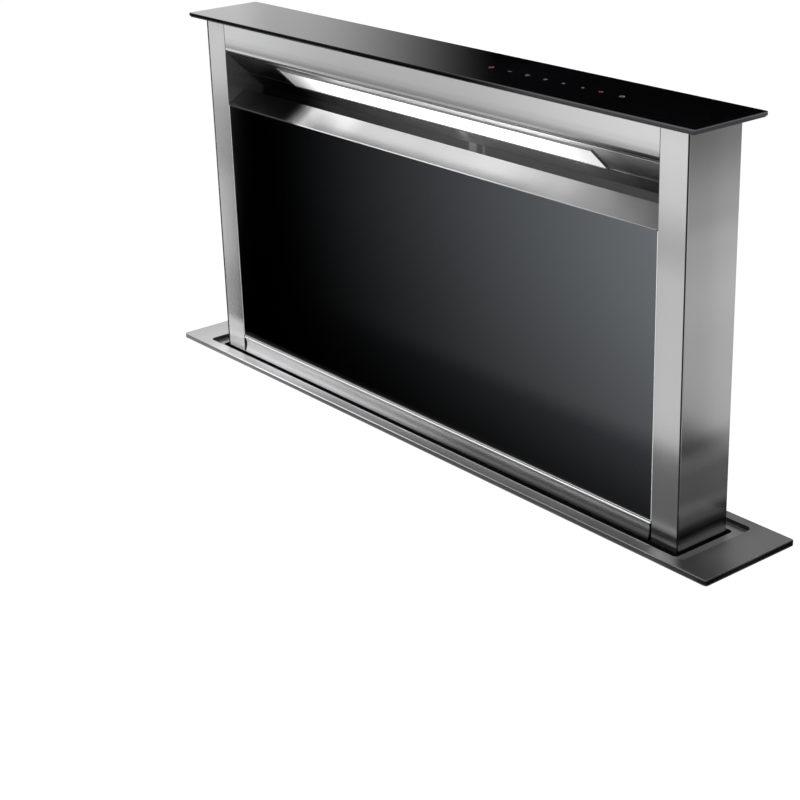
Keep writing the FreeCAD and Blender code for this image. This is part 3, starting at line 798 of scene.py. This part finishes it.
def breakEdges(name, width):
    mesh = bmesh.new()
    mesh.from_mesh(nodes[name].data)
    bmesh.ops.remove_doubles(mesh, verts=mesh.verts, dist=softEdge["merge"])
    flat = math.radians(softEdge["flat"])
    bmesh.ops.dissolve_limit(mesh, angle_limit=flat, verts=mesh.verts, edges=mesh.edges)
    sharp = [
        edge for edge in mesh.edges
        if edge.is_manifold and edge.calc_face_angle(0) > softEdge["angle"]
    ]
    roundOff(mesh, sharp, width, softEdge["segments"])
    shadeByAngle(mesh, softEdge["shade"])
    piece = newPiece(name + "_eased", mesh, finishOf(name), bodyOf[name], slotOf[name], name)
    weighNormals(piece)


for name, width in softWidths.items():
    breakEdges(name, width)
print("sheet edges eased on", len(softWidths), "parts")


# glass cap with its ground edges
capGlass = {"corner": 0.0016, "cornerSteps": 4, "ground": 0.0005, "groundSteps": 2}


def addCapGlass(name):
    low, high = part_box(name)
    mesh = bmesh.new()
    bmesh.ops.create_cube(mesh, size=1.0)
    bmesh.ops.scale(mesh, vec=high - low, verts=mesh.verts)
    bmesh.ops.translate(mesh, vec=(low + high) / 2, verts=mesh.verts)
    upright = [edge for edge in mesh.edges if abs(edge.verts[0].co.z - edge.verts[1].co.z) > 0.001]
    roundOff(mesh, upright, capGlass["corner"], capGlass["cornerSteps"])
    rims = [edge for edge in mesh.edges if edge.calc_face_angle(0) > 1.0]
    roundOff(mesh, rims, capGlass["ground"], capGlass["groundSteps"])
    finished(mesh, 0.1)
    newPiece(name + "_ground", mesh, finishOf(name), bodyOf[name], slotOf[name], name)


addCapGlass("top_glass")


# screws
screw = {
    "recess": 0.55, "arm": 0.15, "depth": 0.0011, "sides": 24,
    "rings": ((1.0, 0.0), (0.98, 0.45), (0.86, 0.8), (0.66, 1.0)),  # shares of radius and height
    "panelX": (-0.414, 0.414), "panelY": 0.0503, "panelZ": (-0.06, -0.24, -0.42, -0.6),
    "panelHead": (0.0036, 0.002),
    "lidX": (0.2065, 0.3735), "lidY": -0.0993, "lidZ": (-0.5165, -0.6435), "lidHead": (0.0029, 0.0013),
}


def crossHead(mesh, place, axis, radius, height):
    side, base = sideways(axis), Vector(place)
    across = axis.cross(side)
    rims = []
    for share, rise in screw["rings"]:
        ring = circle(mesh, base + axis * height * rise, axis, radius * share, screw["sides"])
        rims.append(loopEdges(mesh, ring))
        if rise == 0.0:
            mesh.faces.new(ring)
    for lower, upper in zip(rims, rims[1:]):
        bmesh.ops.bridge_loops(mesh, edges=lower + upper)
    arm, reach = screw["arm"] * radius, screw["recess"] * radius
    top, cross = base + axis * height, []
    for quarter in range(4):
        turn = Matrix.Rotation(quarter * math.pi / 2, 2)
        for spot in ((reach, -arm), (reach, arm), (arm, arm)):
            a, b = turn @ Vector(spot)
            cross.append(mesh.verts.new(top + side * a + across * b))
    crossEdges = loopEdges(mesh, cross)
    bmesh.ops.bridge_loops(mesh, edges=rims[-1] + crossEdges)
    floor = [mesh.verts.new(vert.co - axis * screw["depth"]) for vert in cross]
    bmesh.ops.bridge_loops(mesh, edges=crossEdges + loopEdges(mesh, floor))
    mesh.faces.new(floor)


def addPanelScrews(finish):
    mesh = bmesh.new()
    for z in screw["panelZ"]:
        for x in screw["panelX"]:
            for way in (-1, 1):
                place = (x, way * screw["panelY"], z)
                crossHead(mesh, place, Vector((0, way, 0)), *screw["panelHead"])
    newPiece("panel_screw_heads", finished(mesh), finish, "housing", "zinc_screws", "panel_screws")


def addLidScrews(finish):
    mesh = bmesh.new()
    for x in screw["lidX"]:
        for z in screw["lidZ"]:
            crossHead(mesh, (x, screw["lidY"], z), Vector((0, -1, 0)), *screw["lidHead"])
    newPiece("lid_screw_heads", finished(mesh), finish, "housing", "zinc_screws")


clamp = {
    "x": (-0.441, 0.441), "top": -0.042, "foot": -0.083,
    "thread": 0.003, "root": 0.0025, "pitch": 0.0012,
    "pad": [
        (0, -0.042), (0.0064, -0.042), (0.007, -0.0414), (0.007, -0.0396), (0.0064, -0.039), (0, -0.039),
    ],
    "head": ((0.0055, -0.083), (0.0055, -0.0873), (0.0049, -0.088)),
    "socket": ((0.0029, -0.088), (0.0029, -0.0855)),
}


def addClampScrews(finish):
    mesh = bmesh.new()
    upward = Vector((0, 0, 1))
    for x in clamp["x"]:
        profile, z = [(0, clamp["foot"])], clamp["foot"]
        while z < clamp["top"]:
            profile += [(clamp["root"], z), (clamp["thread"], z + clamp["pitch"] / 2)]
            z += clamp["pitch"]
        turned(mesh, profile + [(0, z)], (x, 0, 0), upward, 16)
        turned(mesh, clamp["pad"], (x, 0, 0), upward, 32)
        rims = []
        for rings, sides in ((clamp["head"], 24), (clamp["socket"], 6)):
            for radius, z in rings:
                rims.append(loopEdges(mesh, circle(mesh, (x, 0, z), upward, radius, sides)))
        for lower, upper in zip(rims, rims[1:]):
            bmesh.ops.bridge_loops(mesh, edges=lower + upper)
        bmesh.ops.contextual_create(mesh, geom=rims[-1])
        bmesh.ops.contextual_create(mesh, geom=rims[0])
    newPiece("clamp_screw_set", finished(mesh), finish, "housing", "zinc_screws", "clamp_screws")


zinc = finishOf("panel_screws")
addPanelScrews(zinc)
addLidScrews(zinc)
addClampScrews(zinc)
print("screws in place")


# touch marks on the glass cap: generic signs, lit from below
marks = {
    "y": -0.002, "foot": 0.4138, "top": 0.41403, "line": 0.0006, "size": 0.0026,
    "places": (0.086, 0.113, 0.138, 0.164, 0.189, 0.215, 0.239, 0.266),
}


def ringMark(mesh, x, radius):
    inner = radius - marks["line"]
    profile = [(radius, marks["foot"]), (radius, marks["top"]), (inner, marks["top"]), (inner, marks["foot"])]
    turned(mesh, profile + profile[:1], (x, marks["y"], 0), Vector((0, 0, 1)), 24)


def barMark(mesh, x, wide, deep, shift=0.0):
    place = Vector((x, marks["y"] + shift, (marks["foot"] + marks["top"]) / 2))
    size = Vector((wide, deep, marks["top"] - marks["foot"]))
    bmesh.ops.create_cube(mesh, size=1.0, matrix=Matrix.LocRotScale(place, None, size))


def markFinish(name, colour, glow):
    finish = newFinish(name, Roughness=0.4, Emission_Strength=glow)
    tone = tinted(finish, cloudy(finish, 900, 2.0, 0.8, 1.1), colour)
    feed(finish, "Base Color", tone)
    feed(finish, "Emission Color", tone)
    return finish


def addTouchMarks():
    size, line = marks["size"], marks["line"]
    power, less, levels, small, more, dot, heat, clock = marks["places"]
    red, grey = bmesh.new(), bmesh.new()
    ringMark(red, power, size)
    barMark(red, power, line, size * 1.1, size * 0.75)
    barMark(grey, less, size * 2, line)
    for shift in (-0.6, 0.0, 0.6):
        barMark(grey, levels, size * (1.5 + shift), line, size * shift)
    ringMark(grey, small, size * 0.7)
    barMark(grey, more, size * 1.6, line)
    barMark(grey, more, line, size * 1.6)
    ringMark(grey, dot, size * 0.5)
    ringMark(red, heat, size * 0.8)
    ringMark(grey, clock, size)
    barMark(grey, clock, line, size * 0.9, size * 0.4)
    redFinish = markFinish("mark_red", (0.35, 0.05, 0.07), 0.35)
    greyFinish = markFinish("mark_grey", (0.22, 0.23, 0.24), 0.3)
    newPiece("touch_marks_red", finished(red), redFinish, "tower", "lamp_white")
    newPiece("touch_marks_grey", finished(grey), greyFinish, "tower", "lamp_white")


addTouchMarks()


# lamp surround, on the sloping ceiling
slope = {"front": (-0.0316, 0.3714), "back": (0.016, 0.3248)}
lampRim = {
    "half": 0.2504, "start": 0.0091, "end": 0.0394, "wide": 0.0016, "drop": -0.0014,
    "seamWide": 0.0008, "seamDrop": -0.0005, "seamEnd": 0.3446,
}


def onSlope(x, down, rise):
    (y0, z0), (y1, z1) = slope["front"], slope["back"]
    length = math.hypot(y1 - y0, z1 - z0)
    runY, runZ = (y1 - y0) / length, (z1 - z0) / length
    return Vector((x, y0 + down * runY - rise * runZ, z0 + down * runZ + rise * runY))


def addLampRim(finish):
    mesh = bmesh.new()
    wide, drop = lampRim["wide"], lampRim["drop"]
    rims = []
    outline = [
        (0, 0), (0, drop * 0.8), (wide * 0.2, drop), (wide * 0.8, drop), (wide, drop * 0.8), (wide, 0),
    ]
    for grow, rise in outline:
        half, start, end = lampRim["half"] + grow, lampRim["start"] - grow, lampRim["end"] + grow
        corners = [(-half, start), (half, start), (half, end), (-half, end)]
        rims.append([mesh.verts.new(onSlope(x, down, rise)) for x, down in corners])
    closedFrame(mesh, rims)
    newPiece("lamp_rim", finished(mesh, 0.5), finish, "tower", "aluminium")


def addChannelSeams(finish):
    mesh = bmesh.new()
    first, last = lampRim["half"] + lampRim["wide"] + 0.0002, lampRim["seamEnd"]
    down, wide, drop = lampRim["end"], lampRim["seamWide"], lampRim["seamDrop"]
    for side in (-1, 1):
        ends = []
        for x in (first * side, last * side):
            corners = [(down, 0.0002), (down, drop), (down + wide, drop), (down + wide, 0.0002)]
            ends.append([mesh.verts.new(onSlope(x, run, rise)) for run, rise in corners])
        closedTube(mesh, ends)
    newPiece("lamp_channel_seams", finished(mesh, 0.5), finish, "tower", "aluminium")


addLampRim(plainMetal("rim_metal", 0.3, 0.3, 900))
addChannelSeams(finishOf("inlet_ceiling"))
print("touch marks and lamp rim in place")


# foot of the tower: a bright bead along the rail, a painted highlight, and the wiper's lip round the tower, a
# black ring that also stands for the shadow in the gap (painted shadow)
# the rail's bead has little metal and light tones: painted highlight
railBead = {
    "half": 0.3435, "front": -0.0343, "back": -0.0334, "low": 0.0187, "high": 0.0204, "soft": 0.0003,
    "tones": [(-0.345, 0.98), (0.0, 0.9), (0.345, 0.8)], "metal": 0.15,
}
# the deflector's bead is a painted highlight, dark at the left end and fading to the right
lipBead = {
    "half": 0.3435, "front": -0.0342, "back": -0.0332, "low": 0.3101, "high": 0.3113, "soft": 0.0003,
    "tones": [(-0.345, 0.02), (-0.22, 0.03), (-0.2, 0.9), (0.05, 0.85), (0.2, 0.45), (0.345, 0.2)],
    "metal": 0.3,
}
# the lip is matte black rubber that also stands for the shadow in the gap round the tower: painted shadow
wiperLip = {
    "middle": -0.001, "halfX": 0.3805, "halfY": 0.033, "inner": 0.0006, "outer": 0.0072,
    "foot": 0.0008, "groove": 0.0029, "low": -0.001, "corner": 0.001, "cornerSteps": 6,
    "top": 0.00115, "sideShare": 0.48,  # the lowered cap's carrier stops at 0.0012
}


def addBead(name, bead):
    finish = brushedSteel(name, "x", bead["tones"], 0.25, bead["metal"])
    mesh = bmesh.new()
    front, back, soft, low, high = (bead[key] for key in ("front", "back", "soft", "low", "high"))
    outline = [
        (back, low), (front + soft, low), (front, low + soft),
        (front, high - soft), (front + soft, high), (back, high),
    ]
    ends = []
    for x in (-bead["half"], bead["half"]):
        ends.append([mesh.verts.new((x, y, z)) for y, z in outline])
    closedTube(mesh, ends)
    newPiece(name, finished(mesh), finish, "tower", "stainless_bright")


def roundedRing(mesh, grow, z):
    middle, halfY = wiperLip["middle"], wiperLip["halfY"] + grow
    halfX = wiperLip["halfX"] + grow * wiperLip["sideShare"]
    radius, steps = wiperLip["corner"] + grow * wiperLip["sideShare"], wiperLip["cornerSteps"]
    verts = []
    for turn, (signX, signY) in enumerate(((1, 1), (-1, 1), (-1, -1), (1, -1))):
        for step in range(steps + 1):
            angle = (turn + step / steps) * math.pi / 2
            x = signX * (halfX - radius) + radius * math.cos(angle)
            y = middle + signY * (halfY - radius) + radius * math.sin(angle)
            verts.append(mesh.verts.new((x, y, z)))
    return verts


def addWiperLip(finish):
    mesh = bmesh.new()
    inner, outer, top = wiperLip["inner"], wiperLip["outer"], wiperLip["top"]
    foot, groove, low = wiperLip["foot"], wiperLip["groove"], wiperLip["low"]
    outline = [
        (inner, low), (inner, top - 0.0003), (inner + 0.0004, top), (outer - 0.0006, top),
        (outer, top - 0.0002), (outer, foot), (groove, foot), (groove, low),
    ]
    rings = [roundedRing(mesh, grow, z) for grow, z in outline]
    closedFrame(mesh, rings)
    newPiece("wiper_lip", finished(mesh, 0.5), finish, "housing", "rubber_black")


addBead("rail_bead", railBead)
addBead("deflector_bead", lipBead)
# nearly black rubber without gloss, also the gap's painted shadow
addWiperLip(moulded("wiper_rubber_and_shadow", (0.003, 0.003, 0.003), 0.95, 900, 0.0002, gloss=0.0))
print("foot of the tower finished")


# fan housing: moulded seam, rear boss with cooling slots, and beads on the outlet collar
scroll = {"seamPlane": 0.132, "seamHalf": 0.0018, "seamProud": 0.003, "back": 0.2153}
boss = {"place": (0.0, -0.33), "radii": (0.062, 0.060, 0.050, 0.048), "proud": 0.004, "slots": 12}
collar = {"place": (-0.083, 0.1328), "radius": 0.0745, "beads": (-0.592, -0.578, -0.545), "proud": 0.0016}


def addScrollSeam(finish):
    mesh = bmesh.new()
    mesh.from_mesh(nodes["fan_scroll"].data)
    bmesh.ops.remove_doubles(mesh, verts=mesh.verts, dist=softEdge["merge"])
    middle, half = scroll["seamPlane"], scroll["seamHalf"]
    for way in (-1, 1):
        everything = mesh.verts[:] + mesh.edges[:] + mesh.faces[:]
        place, normal = (0, middle + way * half, 0), (0, way, 0)
        bmesh.ops.bisect_plane(
            mesh, geom=everything, plane_co=place, plane_no=normal, clear_outer=True,
        )
    mesh.normal_update()
    moves = [(vert, vert.normal.copy()) for vert in mesh.verts]
    for vert, outward in moves:
        outward.y = 0
        if outward.length > 0.1:
            vert.co += outward.normalized() * scroll["seamProud"]
    openEdges = [edge for edge in mesh.edges if edge.is_boundary]
    bmesh.ops.holes_fill(mesh, edges=openEdges, sides=0)
    newPiece("scroll_seam", finished(mesh), finish, "housing", "black_plastic")


def addBoss(finish):
    mesh = bmesh.new()
    x, z = boss["place"]
    wide, rim, inner, floor = boss["radii"]
    back, out = scroll["back"], boss["proud"]
    profile = [
        (0, -0.001), (wide, -0.001), (wide, out * 0.7), (rim, out), (inner, out), (floor, out * 0.35),
        (floor * 0.45, out * 0.35), (floor * 0.42, out * 0.8), (0, out * 0.8),
    ]
    turned(mesh, profile, (x, back, z), Vector((0, 1, 0)), 48)
    newPiece("scroll_boss", finished(mesh, 0.5), finish, "housing", "black_plastic")
    ribs = bmesh.new()
    for step in range(boss["slots"]):
        angle = math.tau * step / boss["slots"]
        turn = Matrix.Rotation(angle, 4, "Y")
        place = Matrix.Translation((x, back + out * 0.45, z)) @ turn @ Matrix.Translation((0, 0, 0.034))
        bmesh.ops.create_cube(ribs, size=1.0, matrix=place @ Matrix.Diagonal((0.0024, out * 0.7, 0.024, 1)))
    newPiece("scroll_boss_ribs", finished(ribs), finish, "housing", "black_plastic")


def addCollarBeads(finish):
    mesh = bmesh.new()
    x, y = collar["place"]
    radius, out = collar["radius"], collar["proud"]
    for z in collar["beads"]:
        profile = [
            (radius - 0.0006, z - 0.0028), (radius + out * 0.7, z - 0.0016), (radius + out, z),
            (radius + out * 0.7, z + 0.0016), (radius - 0.0006, z + 0.0028),
        ]
        turned(mesh, profile + profile[:1], (x, y, 0), Vector((0, 0, 1)), 64)
    newPiece("collar_beads", finished(mesh, 0.8), finish, "housing", "black_plastic")


# control box: louvres on the lid, and a ribbed gland nut
louvre = {
    "x": 0.29, "sides": (-0.045, 0.045), "face": -0.0993, "first": -0.545, "pitch": 0.009, "count": 7,
    "size": (0.06, 0.0022, 0.0045), "round": 0.001, "roundSteps": 3,
}
gland = {"place": (-0.075, -0.6), "bore": 0.0082, "flange": (0.013, 0.380, 0.386), "end": 0.398, "ribs": 20}


def addLouvres(finish):
    mesh = bmesh.new()
    for row in range(louvre["count"]):
        z = louvre["first"] - row * louvre["pitch"]
        for side in louvre["sides"]:
            place = Matrix.Translation((louvre["x"] + side, louvre["face"], z))
            size = Matrix.Diagonal((*louvre["size"], 1))
            made = bmesh.ops.create_cube(mesh, size=1.0, matrix=place @ size)["verts"]
            edges = list({edge for vert in made for edge in vert.link_edges})
            roundOff(mesh, edges, louvre["round"], louvre["roundSteps"])
    newPiece("lid_louvres", finished(mesh, 1.0), finish, "housing", "grey_plastic")


def addGland(finish):
    mesh = bmesh.new()
    y, z = gland["place"]
    bore, (wide, start, seat), end = gland["bore"], gland["flange"], gland["end"]
    outward = Vector((1, 0, 0))
    flangeProfile = [
        (bore, start), (wide - 0.0005, start), (wide, start + 0.0005),
        (wide, seat - 0.0005), (wide - 0.0005, seat), (bore, seat),
    ]
    turned(mesh, flangeProfile + flangeProfile[:1], (0, y, z), outward, 6)
    nutProfile = [
        (bore, 0.376), (0.0105, 0.376), (0.0105, seat), (0.0114, seat + 0.0003), (0.0116, seat + 0.006),
        (0.0108, end - 0.0025), (0.0096, end - 0.0004), (0.0088, end), (bore, end - 0.0006),
    ]
    turned(mesh, nutProfile + nutProfile[:1], (0, y, z), outward, gland["ribs"] * 2)
    for vert in mesh.verts:
        reach = Vector((0, vert.co.y - y, vert.co.z - z))
        if seat < vert.co.x < end - 0.003 and reach.length > 0.011:
            turn = math.atan2(reach.y, reach.z) / math.tau * gland["ribs"] * 2
            if round(turn) % 2:
                vert.co += reach.normalized() * 0.0004
    newPiece("gland_nut", finished(mesh), finish, "housing", "black_plastic", "cable_gland")


blackPlastic = finishOf("cable_gland")
addScrollSeam(blackPlastic)
addBoss(blackPlastic)
addCollarBeads(blackPlastic)
addLouvres(finishOf("control_box_lid"))
addGland(blackPlastic)
print("fan and control details in place")


# stage
stage = {
    "white": 0.86,
    "floorSpan": 7.0,
    "floorDrop": 0.0004,  # keeps the floor clear of the brackets that stand on it
    "slab": ((-0.46, -0.62), (0.95, 0.065)),
    "slabHole": ((-0.4236, -0.0526), (0.4236, 0.0526)),
    "slabThickness": 0.03,
    "shadowShare": 0.18,  # how much of the true shade the white floor keeps
    "glow": 1.12,  # makes up for the floor's own share, so that it shows white
    "worldGrey": 0.62,
}


def seenRay(finish):
    ray = addNode(finish, "LightPath").outputs
    direct = calc(finish, "MAXIMUM", ray["Is Camera Ray"], ray["Is Glossy Ray"])
    return calc(finish, "MAXIMUM", direct, ray["Is Transmission Ray"])


def surface(finish, output):
    finish.node_tree.links.new(output, finish.node_tree.nodes["Material Output"].inputs[0])


def paleStage():
    finish = newFinish("pale_stage", Roughness=0.9, Base_Color=(stage["white"],) * 3 + (1,))
    glow = addNode(finish, "Emission", {"Color": (1, 1, 1, 1), "Strength": stage["glow"]})
    share = multiply(finish, seenRay(finish), 1 - stage["shadowShare"])
    both = {0: share, 1: shaderOf(finish).outputs[0], 2: glow.outputs[0]}
    surface(finish, addNode(finish, "MixShader", both).outputs[0])
    return finish


def worktopSlab(finish):
    mesh = bmesh.new()
    rims = rectangle(mesh, *stage["slab"], 0.0) + rectangle(mesh, *stage["slabHole"], 0.0)
    top = bmesh.ops.bridge_loops(mesh, edges=rims)["faces"]
    lower = bmesh.ops.extrude_face_region(mesh, geom=top)["geom"]
    moved = [part for part in lower if isinstance(part, bmesh.types.BMVert)]
    bmesh.ops.translate(mesh, verts=moved, vec=(0, 0, -stage["slabThickness"]))
    bmesh.ops.recalc_face_normals(mesh, faces=mesh.faces)
    return intoScene("worktop_slab", mesh, finish)


def floorPlane(finish):
    mesh = bmesh.new()
    bmesh.ops.create_grid(mesh, x_segments=1, y_segments=1, size=stage["floorSpan"])
    bmesh.ops.translate(mesh, verts=mesh.verts, vec=(0, 0, cadLow.z - stage["floorDrop"]))
    return intoScene("floor", mesh, finish)


pale = paleStage()
worktopSlab(pale)
floorPlane(pale)

# reflection cards: boards that only mirrors see
backCard = {
    "y": 2.5, "x": (-4.6, 4.6), "z": (0.8, 3.2), "step": (1.35, 1.6),
    "clear": 3.9, "black": 2.72, "upperGrey": 0.27, "upperShift": 0.9,
}
leftGlow = {"y": 2.45, "x": (-5.4, -3.8), "z": (0.8, 1.6), "fade": (3.85, 4.15), "strength": 1.35}
frontCard = {"y": -2.6, "x": (-4.8, 1.5), "z": (0.5, 3.4), "clear": -4.3, "dark": -3.2, "cover": 0.85}
deckCard = {
    "span": ((-2.6, -1.4), (1.7, 1.3)), "hole": ((-0.4405, -0.062), (0.4405, 0.062)), "z": 0.0003,
    "bandFront": (-0.235, -0.17), "bandBack": (0.17, 0.222), "bandFade": (-0.55, -0.2),
    "bandCover": (0.4, 0.84),
    "fan": (1.40, 1.088),  # point the door's mirrored stripes fan out from
    "doorY": -0.034, "doorFade": (-0.25, 0.34), "doorEdge": (-0.353, -0.347),
    "doorFront": (-0.95, -0.78), "doorNear": (-0.078, -0.066),
    "deckCover": (0.08, 0.3), "deckFade": (-0.9, -0.35), "deckFront": (-0.85, -0.72),
    "rimStripe": (0.42, 0.43, 0.452, 0.462), "rimCover": 0.9,
    "edgeStripe": (-1.32, -1.28, -1.21, -1.17), "edgeClear": (-1.3, -1.05),
}


def cardFinish(name):
    finish = bpy.data.materials.new(name)
    finish.use_nodes = True
    finish.node_tree.nodes.remove(finish.node_tree.nodes["Principled BSDF"])
    return finish


def closeCard(finish, share, grey=0.0):
    clear = addNode(finish, "BsdfTransparent")
    dark = addNode(finish, "Emission", {"Color": (1, 1, 1, 1), "Strength": grey})
    both = {0: share, 1: clear.outputs[0], 2: dark.outputs[0]}
    surface(finish, addNode(finish, "MixShader", both).outputs[0])


def onlyMirrored(card):
    for ray in ("camera", "diffuse", "transmission", "shadow", "volume_scatter"):
        setattr(card, "visible_" + ray, False)


def addWallCard(name, finish, values):
    mesh = bmesh.new()
    (x0, x1), (z0, z1) = values["x"], values["z"]
    corners = [(x0, z0), (x1, z0), (x1, z1), (x0, z1)]
    mesh.faces.new([mesh.verts.new((x, values["y"], z)) for x, z in corners])
    onlyMirrored(intoScene(name, mesh, finish))


def addBackCard():
    finish = cardFinish("back_card")
    high = remap(finish, along(finish, "z"), *backCard["step"], 0, 1)
    slide = multiply(finish, high, backCard["upperShift"])
    aside = calc(finish, "ADD", calc(finish, "ABSOLUTE", along(finish, "x")), slide)
    cover = remap(finish, aside, backCard["black"], backCard["clear"], 1, 0)
    closeCard(finish, cover, multiply(finish, high, backCard["upperGrey"]))
    addWallCard("back_card", finish, backCard)


def addLeftGlow():
    finish = cardFinish("left_glow")
    aside = calc(finish, "ABSOLUTE", along(finish, "x"))
    closeCard(finish, remap(finish, aside, *leftGlow["fade"], 0, 1), leftGlow["strength"])
    addWallCard("left_glow", finish, leftGlow)


def addFrontCard():
    finish = cardFinish("front_card")
    ends = frontCard["clear"], frontCard["dark"]
    closeCard(finish, remap(finish, along(finish, "x"), *ends, 0, frontCard["cover"]))
    addWallCard("front_card", finish, frontCard)


def doorVeil(finish, x, y):
    turnX, turnY = deckCard["fan"]
    away = turnY - deckCard["doorY"]
    share = calc(finish, "DIVIDE", away, calc(finish, "SUBTRACT", turnY, y))
    spread = multiply(finish, calc(finish, "SUBTRACT", turnX, x), share)
    doorX = calc(finish, "SUBTRACT", turnX, spread)
    light = remap(finish, doorX, *deckCard["doorFade"], 0, 1, "LINEAR")
    dark = calc(finish, "SUBTRACT", 1.0, multiply(finish, light, light))
    edge = remap(finish, doorX, *deckCard["doorEdge"])
    ahead = within(finish, y, *deckCard["doorFront"], *deckCard["doorNear"])
    return multiply(finish, dark, multiply(finish, edge, ahead))


def addDeckCard():
    finish = cardFinish("deck_card")
    x, y = along(finish, "x"), along(finish, "y")
    band = within(finish, y, *deckCard["bandFront"], *deckCard["bandBack"])
    foot = multiply(finish, band, remap(finish, x, *deckCard["bandFade"], *deckCard["bandCover"]))
    stripe = within(finish, y, *deckCard["edgeStripe"])
    stripe = multiply(finish, stripe, remap(finish, x, *deckCard["edgeClear"], 1, 0))
    ahead = remap(finish, y, *deckCard["deckFront"])
    deck = multiply(finish, ahead, remap(finish, x, *deckCard["deckFade"], *deckCard["deckCover"]))
    rim = multiply(finish, within(finish, x, *deckCard["rimStripe"]), deckCard["rimCover"])
    lit = 1.0
    for dark in (foot, stripe, deck, rim, doorVeil(finish, x, y)):
        lit = multiply(finish, calc(finish, "SUBTRACT", 1.0, dark), lit)
    closeCard(finish, calc(finish, "SUBTRACT", 1.0, lit))
    mesh = bmesh.new()
    z = deckCard["z"]
    rims = rectangle(mesh, *deckCard["span"], z) + rectangle(mesh, *deckCard["hole"], z)
    bmesh.ops.bridge_loops(mesh, edges=rims)
    onlyMirrored(intoScene("deck_card", mesh, finish))


addBackCard()
addLeftGlow()
addFrontCard()
addDeckCard()


# light
lamps = {
    "key": {"place": (-1.6, -2.4, 2.6), "size": 2.2, "power": 75},
    "side": {"place": (2.8, -1.0, 1.8), "size": 2.0, "power": 30},
    "back": {"place": (0.6, 2.6, 2.2), "size": 2.0, "power": 32},
}


def addLamp(name, place, size, power):
    light = bpy.data.lights.new(name, "AREA")
    light.shape = "SQUARE"
    light.size = size
    light.energy = power
    lampObject = bpy.data.objects.new(name, light)
    lampObject.location = place
    aim = Vector((0, 0, 0.1)) - Vector(place)
    lampObject.rotation_euler = aim.to_track_quat("-Z", "Y").to_euler()
    lampObject.visible_camera = False
    bpy.context.scene.collection.objects.link(lampObject)


def lightWorld():
    world = bpy.data.worlds.new("studio")
    world.use_nodes = True
    bpy.context.scene.world = world
    plain = world.node_tree.nodes["Background"]
    plain.inputs["Color"].default_value = (stage["worldGrey"],) * 3 + (1,)
    white = addNode(world, "Background", {"Color": (1, 1, 1, 1), "Strength": 1.0})
    both = addNode(world, "MixShader", {0: seenRay(world), 1: plain.outputs[0], 2: white.outputs[0]})
    world.node_tree.links.new(both.outputs[0], world.node_tree.nodes["World Output"].inputs[0])


for name, values in lamps.items():
    addLamp(name, **values)
lightWorld()
bpy.context.scene.view_settings.view_transform = "Standard"
print("stage and light ready")
